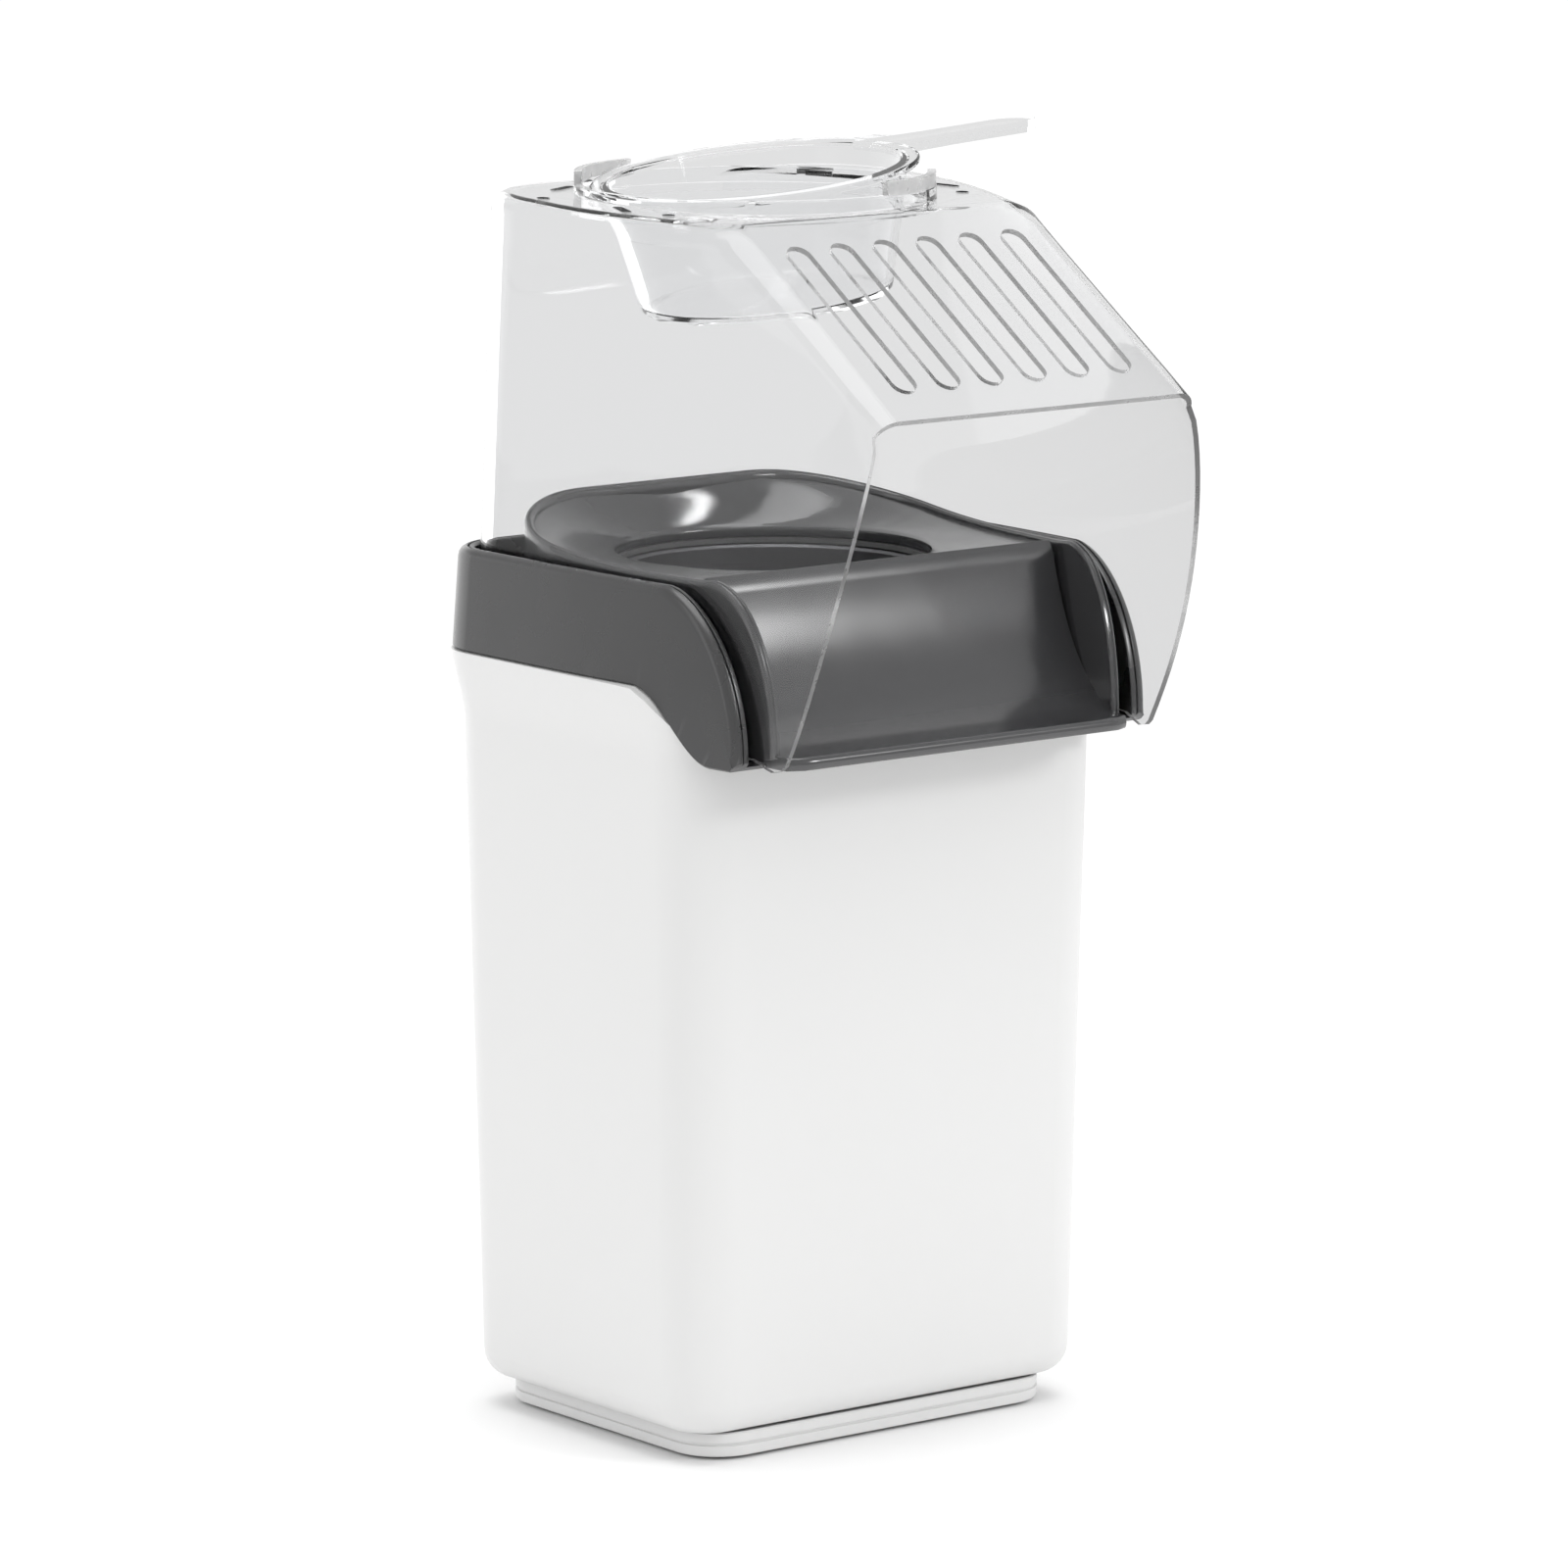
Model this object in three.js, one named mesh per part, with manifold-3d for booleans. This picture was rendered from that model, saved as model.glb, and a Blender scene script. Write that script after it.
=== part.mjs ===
// Hot-air popcorn maker with a clear lift-off hood and a measuring cup.
// Millimetres, +Z up. The mouth of the hood faces -Y and +X is to the right of it.
import * as THREE from 'three';
import { mergeVertices } from 'three/addons/utils/BufferGeometryUtils.js';
import Module from 'manifold-3d';

const wasm = await Module();
wasm.setup();

// ---------------------------------------------------------------- driving dimensions
const GAP = 0.3;                      // clearance between pieces that touch
const WALL = 2.5;                     // housing wall

const FOOT_HEIGHT = 6.6;              // base ring below the housing
const HOUSING_BOTTOM = { a: 58.5, b: 45, r: 13 };
const HOUSING_TOP = { a: 61.5, b: 47.8, r: 13.5 };
const FLARE_Z = 164.5;                // where the straight housing wall starts to flare
const HOUSING_RIM_Z = 179.8;          // top edge of the flare
const FLARE_OUT = 3;                  // how far the flare stands out at its rim

const COLLAR_TOP_Z = 203.4;
const SOLE = 1.6;                     // thin floor that follows the collar's lower edge
const ARM_BOTTOM_Z = 163.9;           // underside of the two arms at the front
const ARM_FRONT_Y = -62.5;

const RIDGE = { y: -40, z: 204.2 };   // top of the ramp
const LIP = { y: -69.7, z: 166.5 };   // front edge of the ramp
const BACK_RIM_RISE = 10;             // how much higher the funnel's rim is at the back

const HOOD_WALL = 2;
const HOOD_TOP_Z = 282.7;
const HOOD_TOP_FRONT_Y = -39.7;       // top edge of the slanted panel
const HOOD_TOP_RISE = 3.5;            // the top climbs this much toward the back
const CREASE = { y: -96.3, z: 244.9 };  // bottom edge of the slanted panel
const HOOD_BASE_Z = 193;              // lower edge of the hood in the collar's groove

const AXIS_Y = 1;                     // vertical axis of chamber, heater, fan and motor
const CHAMBER = { top: 35.8, bottom: 32.4, floorZ: 108, rimZ: 198, wall: 1.2 };
const DUCT = { r: 38.4, wall: 1.2, bottomZ: 62.6, topZ: 196.6 };
const FAN = { r: 31, bottomZ: 45, height: 13, blades: 11 };
const MOTOR = { r: 14, bottomZ: 12.5, topZ: 37.5, shaft: 1.6 };

const CUP_AXIS_Y = 8;                 // the cup sits over the middle of the hood's top
const CUP = { flange: 39, top: 35.5, bottom: 29.5, depth: 29.5, wall: 1.6, tilt: 7, rimZ: 288 };
const RING = { inner: 39.8, outer: 42, hole: 37.4, ledgeZ: 282.9, topZ: 286.4, guardTopZ: 289.4 };

const WHITE = { color: 0xf1f1ef, roughness: 0.4, metalness: 0 };
const DARK = { color: 0x4b4b4d, roughness: 0.45, metalness: 0 };
const CLEAR = { color: 0xe8eef0, roughness: 0.08, metalness: 0, transparent: true, opacity: 0.32 };
const ALUMINIUM = { color: 0xb9bcbe, roughness: 0.35, metalness: 1 };
const STEEL = { color: 0x8d9093, roughness: 0.3, metalness: 1 };
const MICA = { color: 0xb9a27a, roughness: 0.6, metalness: 0 };
const BLACK = { color: 0x1b1b1c, roughness: 0.6, metalness: 0 };
const RUBBER = { color: 0x2a2a2b, roughness: 0.9, metalness: 0 };
const BOARD = { color: 0x9a8a5a, roughness: 0.7, metalness: 0 };
const SILICONE = { color: 0xd9d4c8, roughness: 0.8, metalness: 0 };

// ---------------------------------------------------------------- solids
function solid(geometry) {
  const bare = geometry.clone();
  bare.deleteAttribute('normal');
  bare.deleteAttribute('uv');
  const merged = mergeVertices(bare, 1e-4);
  return new wasm.Manifold(new wasm.Mesh({
    numProp: 3,
    vertProperties: new Float32Array(merged.attributes.position.array),
    triVerts: new Uint32Array(merged.index.array),
  }));
}

function geometryOf(body) {
  const mesh = body.getMesh();
  const geometry = new THREE.BufferGeometry();
  geometry.setAttribute('position', new THREE.BufferAttribute(new Float32Array(mesh.vertProperties), 3));
  geometry.setIndex(new THREE.BufferAttribute(new Uint32Array(mesh.triVerts), 1));
  geometry.computeVertexNormals();
  return geometry;
}

const cut = (body, ...tools) => tools.reduce((left, tool) => left.subtract(tool), body);
const join = (body, ...others) => others.reduce((sum, other) => sum.add(other), body);
const common = (body, other) => body.intersect(other);

function box(width, depth, height, x, y, z) {
  return solid(new THREE.BoxGeometry(width, depth, height).translate(x, y, z));
}

// a round bar or cone frustum that stands on z
function post(radius, height, x, y, z, sides = 24, topRadius = radius) {
  const geometry = new THREE.CylinderGeometry(topRadius, radius, height, sides);
  return solid(geometry.rotateX(Math.PI / 2).translate(x, y, z + height / 2));
}

// a turned piece: profile points are [radius, z] and run from axis to axis, or close on themselves
function turned(profile, sides = 48, y = AXIS_Y) {
  const points = profile.map(([radius, z]) => new THREE.Vector2(radius, z));
  const geometry = new THREE.LatheGeometry(points, sides);
  return outward(solid(geometry.rotateX(Math.PI / 2).translate(0, y, 0)), geometry);
}

// a profile drawn the other way round gives an inside-out solid, which is flipped here
function outward(body, geometry) {
  if (body.volume() > 0) {
    return body;
  }
  const index = geometry.index.array;
  for (let i = 0; i < index.length; i += 3) {
    [index[i], index[i + 1]] = [index[i + 1], index[i]];
  }
  return solid(geometry);
}

function tubeRing(inner, outer, z0, z1, sides = 48, y = AXIS_Y) {
  return turned([[inner, z0], [outer, z0], [outer, z1], [inner, z1], [inner, z0]], sides, y);
}

// a side profile of [y, z] points, extruded across the object
function across(profile, halfWidth) {
  const shape = new THREE.Shape(profile.map(([y, z]) => new THREE.Vector2(y, z)));
  const geometry = new THREE.ExtrudeGeometry(shape, { depth: 2 * halfWidth, bevelEnabled: false });
  const turn = new THREE.Matrix4().makeBasis(
    new THREE.Vector3(0, 1, 0), new THREE.Vector3(0, 0, 1), new THREE.Vector3(1, 0, 0));
  return solid(geometry.translate(0, 0, -halfWidth).applyMatrix4(turn));
}

// joins rings of points, all with the same count, into one skin
function loft(rings, looped = false) {
  const count = rings[0].length;
  const positions = rings.flat().flatMap((point) => [point.x, point.y, point.z]);
  const index = [];
  const last = looped ? rings.length : rings.length - 1;
  for (let level = 0; level < last; level += 1) {
    const low = level * count;
    const high = ((level + 1) % rings.length) * count;
    for (let i = 0; i < count; i += 1) {
      const next = (i + 1) % count;
      index.push(low + i, low + next, high + next, low + i, high + next, high + i);
    }
  }
  if (!looped) {
    closeEnd(rings[0], 0, positions, index, true);
    closeEnd(rings[rings.length - 1], (rings.length - 1) * count, positions, index, false);
  }
  const geometry = new THREE.BufferGeometry();
  geometry.setAttribute('position', new THREE.BufferAttribute(new Float32Array(positions), 3));
  geometry.setIndex(index);
  return outward(solid(geometry), geometry);
}

function closeEnd(ring, start, positions, index, facingDown) {
  const middle = ring.reduce((sum, point) => sum.add(point), new THREE.Vector3()).divideScalar(ring.length);
  const centre = positions.length / 3;
  positions.push(middle.x, middle.y, middle.z);
  for (let i = 0; i < ring.length; i += 1) {
    const next = (i + 1) % ring.length;
    const pair = facingDown ? [start + next, start + i] : [start + i, start + next];
    index.push(centre, ...pair);
  }
}

// ---------------------------------------------------------------- outlines
// rounded rectangle of half-width a, half-depth b and corner radius r, anticlockwise from +X
function roundedRing(a, b, r, z, steps = 4) {
  const corners = [[1, 1, 0], [-1, 1, 90], [-1, -1, 180], [1, -1, 270]];
  return corners.flatMap(([sx, sy, start]) => {
    const points = [];
    for (let i = 0; i <= steps; i += 1) {
      const angle = THREE.MathUtils.degToRad(start + (90 * i) / steps);
      const x = sx * (a - r) + r * Math.cos(angle);
      const y = sy * (b - r) + r * Math.sin(angle);
      points.push(new THREE.Vector3(x, y, z));
    }
    return points;
  });
}

// outline with round back corners whose sides draw in toward the front
// plan: a half-width, b back, r corner, frontWidth at frontY, endY where it is closed, power of the curve
function taperedRing(plan, z, inset = 0) {
  const startY = 10;
  const sideSteps = 9;
  const cornerSteps = 6;
  const radius = plan.r - inset;
  const right = [];
  for (let i = 0; i <= sideSteps; i += 1) {
    const y = plan.endY + ((startY - plan.endY) * i) / sideSteps;
    const along = (startY - y) / (startY - plan.frontY);
    const width = plan.a - (plan.a - plan.frontWidth) * along ** plan.power;
    right.push(new THREE.Vector3(Math.max(width, plan.frontWidth - 8) - inset, y, z));
  }
  for (let i = 0; i <= cornerSteps; i += 1) {
    const angle = ((Math.PI / 2) * i) / cornerSteps;
    const x = plan.a - inset - radius + radius * Math.cos(angle);
    const y = plan.b - inset - radius + radius * Math.sin(angle);
    right.push(new THREE.Vector3(x, y, z));
  }
  const left = right.map((point) => new THREE.Vector3(-point.x, point.y, point.z)).reverse();
  return [...right, ...left];
}

function curvePoints(curve, steps) {
  return curve.getPoints(steps).map((point) => [point.x, point.y]);
}

const vector = ([y, z]) => new THREE.Vector2(y, z);
const cubic = (...points) => new THREE.CubicBezierCurve(...points.map(vector));
const quadratic = (...points) => new THREE.QuadraticBezierCurve(...points.map(vector));

// the S-shaped step where the collar's lower edge runs down from the side to the arms, as [y, z]
function lowerEdge(lift = 0, steps = 10) {
  const backY = -28;
  const frontY = -54;
  const points = curvePoints(cubic(
    [backY, HOUSING_RIM_Z + lift], [-37, HOUSING_RIM_Z + lift],
    [-45, ARM_BOTTOM_Z + lift], [frontY, ARM_BOTTOM_Z + lift]), steps);
  return points;
}

// ---------------------------------------------------------------- housing and base
function housingRing(z, inset) {
  const share = THREE.MathUtils.clamp((z - FOOT_HEIGHT) / (FLARE_Z - FOOT_HEIGHT), 0, 1);
  const flare = FLARE_OUT * THREE.MathUtils.smoothstep(z, FLARE_Z - 1, HOUSING_RIM_Z);
  const a = THREE.MathUtils.lerp(HOUSING_BOTTOM.a, HOUSING_TOP.a, share) + flare - inset;
  const b = THREE.MathUtils.lerp(HOUSING_BOTTOM.b, HOUSING_TOP.b, share) + flare - inset;
  const r = THREE.MathUtils.lerp(HOUSING_BOTTOM.r, HOUSING_TOP.r, share) + flare - inset;
  return roundedRing(a, b, r, z);
}

const SCREW = { x: 30, y: 35, boss: 3.8, bore: 1.8 };
const FOOT = { x: 42, y: 30, r: 5 };
const signs = [[-1, -1], [1, -1], [1, 1], [-1, 1]];
const SWITCH = { x: -18, z: 24, width: 13, height: 19 };
const GLAND = { x: 20, z: 20, r: 4.2 };

function housingShell() {
  const tuckIn = [[FOOT_HEIGHT + 0.2, 4.6], [FOOT_HEIGHT + 1.4, 2.4], [FOOT_HEIGHT + 3.4, 0.8]];
  const levels = [FOOT_HEIGHT + 6, 85, FLARE_Z - 1, FLARE_Z + 3, FLARE_Z + 7, FLARE_Z + 11];
  const outerRings = [
    ...tuckIn.map(([z, inset]) => housingRing(z, inset)),
    ...levels.map((z) => housingRing(z, 0)),
    housingRing(HOUSING_RIM_Z, 0),
  ];
  const innerRings = [
    housingRing(FOOT_HEIGHT - 2, 4.6 + WALL),
    housingRing(FOOT_HEIGHT + 1.4, 4.6 + WALL),
    housingRing(FOOT_HEIGHT + 4.4, 0.8 + WALL),
    ...levels.slice(1).map((z) => housingRing(z, WALL)),
    housingRing(HOUSING_RIM_Z + 2, WALL),
  ];
  let body = cut(loft(outerRings), loft(innerRings));
  for (const [sx, sy] of signs) {
    const boss = post(SCREW.boss, 20, sx * SCREW.x, sy * SCREW.y, FOOT_HEIGHT + 3.4, 14);
    const rib = box(2, 8, 16, sx * SCREW.x, sy * (SCREW.y + 5.4), FOOT_HEIGHT + 14);
    body = join(body, boss, rib);
  }
  for (const [sx, sy] of signs) {
    body = cut(body, post(SCREW.bore, 17, sx * SCREW.x, sy * SCREW.y, FOOT_HEIGHT, 12));
  }
  const above = [...lowerEdge(-GAP), [-90, ARM_BOTTOM_Z - GAP], [-90, 220], [-28, 220]];
  body = cut(body, across(above, 80));
  body = cut(body, box(2 * 53, 30, 20, 0, -56, ARM_BOTTOM_Z - GAP + 10));
  body = cut(body, box(SWITCH.width + 0.8, 16, SWITCH.height + 0.8, SWITCH.x, 45, SWITCH.z));
  const glandHole = new THREE.CylinderGeometry(GLAND.r + GAP, GLAND.r + GAP, 16, 24);
  glandHole.translate(GLAND.x, 45, GLAND.z);
  return cut(body, solid(glandHole));
}

const COVER = { a: 51.8, b: 41.3, r: 12 };
const PLATE_Z = 5;

function baseCover() {
  const ring = (inset, z) => roundedRing(COVER.a - inset, COVER.b - inset, COVER.r - inset, z);
  const rim = cut(
    loft([ring(0.6, 0.5), ring(0, 1.2), ring(0, FOOT_HEIGHT - GAP)]),
    loft([ring(2.6, -1), ring(2.6, FOOT_HEIGHT + 2)]));
  const collarUp = loft([ring(3.4, PLATE_Z), ring(3.4, FOOT_HEIGHT + 2.4)]);
  const collarHollow = loft([ring(5.4, PLATE_Z + 2), ring(5.4, FOOT_HEIGHT + 4)]);
  let body = join(rim, loft([ring(1.5, PLATE_Z), ring(1.5, FOOT_HEIGHT - GAP)]));
  body = join(cut(body, collarHollow), cut(collarUp, collarHollow));
  for (const [sx, sy] of signs) {
    body = join(body, post(6, 2.4, sx * FOOT.x, sy * FOOT.y, 2.8, 20));
    body = cut(body, post(2.1, 8, sx * FOOT.x, sy * FOOT.y, 0, 12));
    body = cut(body, post(SCREW.bore, 12, sx * SCREW.x, sy * SCREW.y, 0, 12));
  }
  const slotWidth = 3;
  const slotPitch = 6.5;
  for (let i = -4; i <= 4; i += 1) {
    const length = Math.abs(i) > 2 ? 24 : 52;
    body = cut(body, box(slotWidth, length, 8, i * slotPitch, 0, PLATE_Z));
  }
  return body;
}

function rubberFoot(sx, sy) {
  const x = sx * FOOT.x;
  const y = sy * FOOT.y;
  return join(post(FOOT.r - 0.4, 2.5, x, y, 0, 20, FOOT.r), post(1.8, 4.6, x, y, 2, 10));
}

function baseScrew(sx, sy) {
  const x = sx * SCREW.x;
  const y = sy * SCREW.y;
  const head = post(3, 1.8, x, y, PLATE_Z - GAP - 1.8, 14);
  const recess = box(4, 0.8, 1.2, x, y, PLATE_Z - GAP - 1.8);
  return join(cut(head, recess), post(1.4, 16, x, y, PLATE_Z - GAP - 0.4, 8));
}

// ---------------------------------------------------------------- collar and chute
const collarPlan = (z) => {
  const share = (z - HOUSING_RIM_Z) / (COLLAR_TOP_Z - HOUSING_RIM_Z);
  return {
    a: 64.2 - 1.4 * share, b: 50.3 - 0.8 * share, r: 16,
    frontWidth: 60, frontY: ARM_FRONT_Y, endY: -80, power: 2,
  };
};
const groovePlan = { a: 59.5, b: 46.2, r: 14, frontWidth: 55.7, frontY: ARM_FRONT_Y, endY: -82, power: 2 };
const linerPlan = { a: 56.2, b: 43, r: 32, frontWidth: 50.4, frontY: -64, endY: -80, power: 2 };

function armTop(steps = 12) {
  return curvePoints(cubic(
    [-38, COLLAR_TOP_Z], [-50, COLLAR_TOP_Z - 2.2],
    [ARM_FRONT_Y, COLLAR_TOP_Z - 17], [ARM_FRONT_Y, ARM_BOTTOM_Z + 2]), steps);
}

function collar() {
  const levels = [150, HOUSING_RIM_Z, COLLAR_TOP_Z - 2.5];
  const rounding = [[COLLAR_TOP_Z - 0.9, 0.5], [COLLAR_TOP_Z, 1.5]];
  const outer = loft([
    ...levels.map((z) => taperedRing(collarPlan(Math.max(z, HOUSING_RIM_Z)), z)),
    ...rounding.map(([z, inset]) => taperedRing(collarPlan(z), z, inset)),
  ]);
  const groove = loft([taperedRing(groovePlan, 140), taperedRing(groovePlan, 230)]);
  const inside = loft([taperedRing(linerPlan, 140, 3.2), taperedRing(linerPlan, 230, 3.2)]);
  const opening = join(inside, box(2 * 50, 40, 90, 0, RIDGE.y - 20, 180));
  const edge = lowerEdge();
  const side = [
    [70, HOUSING_RIM_Z], ...edge, [ARM_FRONT_Y + 2, ARM_BOTTOM_Z], ...armTop().reverse(), [70, COLLAR_TOP_Z],
  ];
  const soleSide = [
    [70, HOUSING_RIM_Z], ...edge, [ARM_FRONT_Y + 2, ARM_BOTTOM_Z], [ARM_FRONT_Y, ARM_BOTTOM_Z + 2],
    ...lowerEdge(SOLE).reverse(), [70, HOUSING_RIM_Z + SOLE],
  ];
  const wall = common(cut(outer, groove), across(side, 80));
  const sole = common(cut(outer, opening), across(soleSide, 80));
  return join(wall, sole);
}

const rimHeight = (y) => RIDGE.z + BACK_RIM_RISE * Math.max(0, (y - RIDGE.y) / 83) ** 3;

// the concave ramp that the popcorn slides down, as [y, z] from ridge to lip
function rampLine(steps = 12) {
  return curvePoints(quadratic([RIDGE.y, RIDGE.z], [-49, LIP.z], [LIP.y, LIP.z]), steps);
}

function funnel() {
  const hole = 36.6;
  const thickness = 2.2;
  const rim = [...roundedRing(55, 41, 30, 0, 7).slice(0, 16), ...roundedRing(55, 41, 17, 0, 7).slice(16)];
  const height = (point) => rimHeight(point.y) - 1.2;
  const upperRim = rim.map((point) => new THREE.Vector3(point.x, Math.max(point.y, RIDGE.y), height(point)));
  const atHole = (z, radius) => rim.map((point) => {
    const angle = Math.atan2(point.y - AXIS_Y, point.x);
    return new THREE.Vector3(radius * Math.cos(angle), AXIS_Y + radius * Math.sin(angle), z);
  });
  const shoulder = (drop, radius) => atHole(CHAMBER.rimZ + drop, radius);
  const lowerRim = upperRim.map((point) => new THREE.Vector3(point.x, point.y, point.z - thickness));
  return loft([
    upperRim, shoulder(4.6, hole + 1.2), shoulder(3.6, hole),
    shoulder(1.8, hole), shoulder(1.8, hole + 2), lowerRim,
  ], true);
}

function chuteLiner() {
  const outer = loft([taperedRing(linerPlan, 140), taperedRing(linerPlan, 230)]);
  const inner = loft([taperedRing(linerPlan, 138, 2.4), taperedRing(linerPlan, 232, 2.4)]);
  const trim = loft([taperedRing(linerPlan, 140, 0.6), taperedRing(linerPlan, 230, 0.6)]);
  const clearOfSole = SOLE + GAP + 0.2;
  const rim = [];
  for (let y = 60; y >= RIDGE.y; y -= 10) {
    rim.push([y, rimHeight(y)]);
  }
  const cheekCurve = cubic([-45, RIDGE.z + 0.4], [-56, RIDGE.z - 0.6], [-64.3, 188], [-64.3, 166.2]);
  const cheek = curvePoints(cheekCurve, 12);
  const side = [...rim, ...cheek, ...lowerEdge(clearOfSole).reverse(), [60, HOUSING_RIM_Z + clearOfSole]];
  const wall = common(cut(outer, inner), across(side, 80));
  const ramp = rampLine();
  const under = ramp.slice().reverse().map(([y, z]) => [y + 2.4, z - 1.2]);
  const rampSide = [
    [RIDGE.y + 3, RIDGE.z - 0.4], ...ramp, [LIP.y - 0.3, LIP.z - 1.4], [LIP.y, ARM_BOTTOM_Z],
    [-44, ARM_BOTTOM_Z], [-44, ARM_BOTTOM_Z + 1.6], ...under.slice(3),
  ];
  const rampBody = common(across(rampSide, 49.6), trim);
  return join(wall, funnel(), rampBody);
}

// ---------------------------------------------------------------- hood and cup
// front edge of the hood's open mouth, from the crease down to the tip, as [y, z]
function mouthEdge(steps = 12) {
  return curvePoints(quadratic([CREASE.y - 0.5, CREASE.z - 2], [-90, 197], [-72.5, 166]), steps);
}

// the hood's plan at height z: wide over the groove, drawn in at the mouth and at the shoulders
function hoodPlan(z) {
  const share = THREE.MathUtils.clamp((z - HOOD_BASE_Z) / (HOOD_TOP_Z - HOOD_BASE_Z), 0, 1);
  const plan = {
    a: 58.9 - 0.6 * share, b: 45.6 + 1.2 * share, r: 14 + 9 * share, endY: -112, power: 2.2 - 0.6 * share,
  };
  if (z >= CREASE.z) {
    const up = (z - CREASE.z) / (HOOD_TOP_Z - CREASE.z);
    plan.frontY = THREE.MathUtils.lerp(CREASE.y, HOOD_TOP_FRONT_Y, up);
    plan.frontWidth = 44.6 - 1.4 * up;
    return plan;
  }
  const down = (CREASE.z - z) / (CREASE.z - 166);
  plan.frontY = THREE.MathUtils.lerp(-97.5, -72.5, down ** 1.7);
  plan.frontWidth = 44.6 + 8.8 * Math.sin((Math.PI / 2) * Math.min(1, down * 1.15)) ** 0.9;
  return plan;
}

function hoodSlots() {
  const count = 6;
  const pitch = 12.35;
  const width = 6.3;
  const length = 51;
  const run = new THREE.Vector2(CREASE.y - HOOD_TOP_FRONT_Y, CREASE.z - HOOD_TOP_Z);
  const middle = new THREE.Vector2(HOOD_TOP_FRONT_Y, HOOD_TOP_Z).addScaledVector(run, 0.49);
  const slope = Math.atan2(run.y, run.x) + Math.PI;
  const slots = [];
  for (let i = 0; i < count; i += 1) {
    const shape = new THREE.Shape();
    const end = (length - width) / 2;
    shape.absarc(0, end, width / 2, 0, Math.PI, false);
    shape.absarc(0, -end, width / 2, Math.PI, 2 * Math.PI, false);
    const geometry = new THREE.ExtrudeGeometry(shape, { depth: 12, bevelEnabled: false, curveSegments: 3 });
    geometry.translate(0, 0, -6).rotateX(slope).translate((i - (count - 1) / 2) * pitch, middle.x, middle.y);
    slots.push(solid(geometry));
  }
  return slots;
}

// small slots and round holes in the top, round the cup's ring
function hoodTopVents() {
  const slit = (x, y, degrees) => solid(new THREE.BoxGeometry(9, 2.2, 14)
    .rotateZ(THREE.MathUtils.degToRad(degrees)).translate(x, y, HOOD_TOP_Z));
  const vents = [];
  for (const side of [-1, 1]) {
    vents.push(slit(side * 37, 32.6, side * -24), slit(side * 46.4, -3, side * -70));
    vents.push(post(1.4, 14, side * 51, 21, HOOD_TOP_Z - 6, 8));
    vents.push(post(1.4, 14, side * 42.6, -15.4, HOOD_TOP_Z - 6, 8));
  }
  return vents;
}

const topRise = (y) => (HOOD_TOP_RISE * (y - HOOD_TOP_FRONT_Y)) / 88;

function hood() {
  const levels = [150, 166, 175, 186, 198, 212, 226, 237, CREASE.z, 258, 271, HOOD_TOP_Z - 2.4];
  const topRing = (drop, inset) => taperedRing(hoodPlan(HOOD_TOP_Z), HOOD_TOP_Z - drop, inset).map(
    (point) => point.setZ(point.z + topRise(point.y)));
  const shell = (inset) => loft([
    ...levels.map((z) => taperedRing(hoodPlan(z), z, inset)),
    topRing(0.8, inset + 0.7), topRing(0, inset + 2.2),
  ]);
  const bottom = curvePoints(cubic([-26, HOOD_BASE_Z], [-38, HOOD_BASE_Z], [-44, 167], [-56, 166.6]), 8);
  const outerSide = [
    [80, HOOD_BASE_Z], ...bottom, [-63.4, 166.4], [-65.4, 164.8], [-68.4, 164.2], [-71.2, 164.8],
    ...mouthEdge().reverse(), [CREASE.y, CREASE.z],
    [HOOD_TOP_FRONT_Y, HOOD_TOP_Z], [80, HOOD_TOP_Z + topRise(80)],
  ];
  const t = HOOD_WALL;
  const innerSide = [
    [80, 140], [-130, 140], [-130, CREASE.z - t - 23], [CREASE.y, CREASE.z - t - 0.4],
    [HOOD_TOP_FRONT_Y + 0.8, HOOD_TOP_Z - t], [80, HOOD_TOP_Z - t + topRise(80)],
  ];
  let body = common(shell(0), across(outerSide, 80));
  body = cut(body, common(shell(t), across(innerSide, 80)));
  body = cut(body, ...hoodSlots(), ...hoodTopVents());
  const ringBase = RING.ledgeZ - t;
  body = join(body, post(RING.outer, RING.topZ - ringBase, 0, CUP_AXIS_Y, ringBase, 40));
  body = cut(body, post(RING.inner, 20, 0, CUP_AXIS_Y, RING.ledgeZ, 40));
  body = cut(body, post(RING.hole, 20, 0, CUP_AXIS_Y, ringBase - 10, 40));
  return join(join(body, ringGuard(99)), ringGuard(279));
}

// a raised stretch of the ring that keeps the cup in place, from an angle on round 48 degrees
function ringGuard(degrees) {
  const start = THREE.MathUtils.degToRad(degrees);
  const end = THREE.MathUtils.degToRad(degrees + 48);
  const outline = new THREE.Shape();
  outline.absarc(0, 0, RING.outer - 0.2, start, end, false);
  outline.absarc(0, 0, RING.inner + 0.2, end, start, true);
  const depth = RING.guardTopZ - RING.topZ + 1;
  const geometry = new THREE.ExtrudeGeometry(outline, { depth, bevelEnabled: false, curveSegments: 6 });
  return solid(geometry.translate(0, CUP_AXIS_Y, RING.topZ - 1));
}

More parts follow.
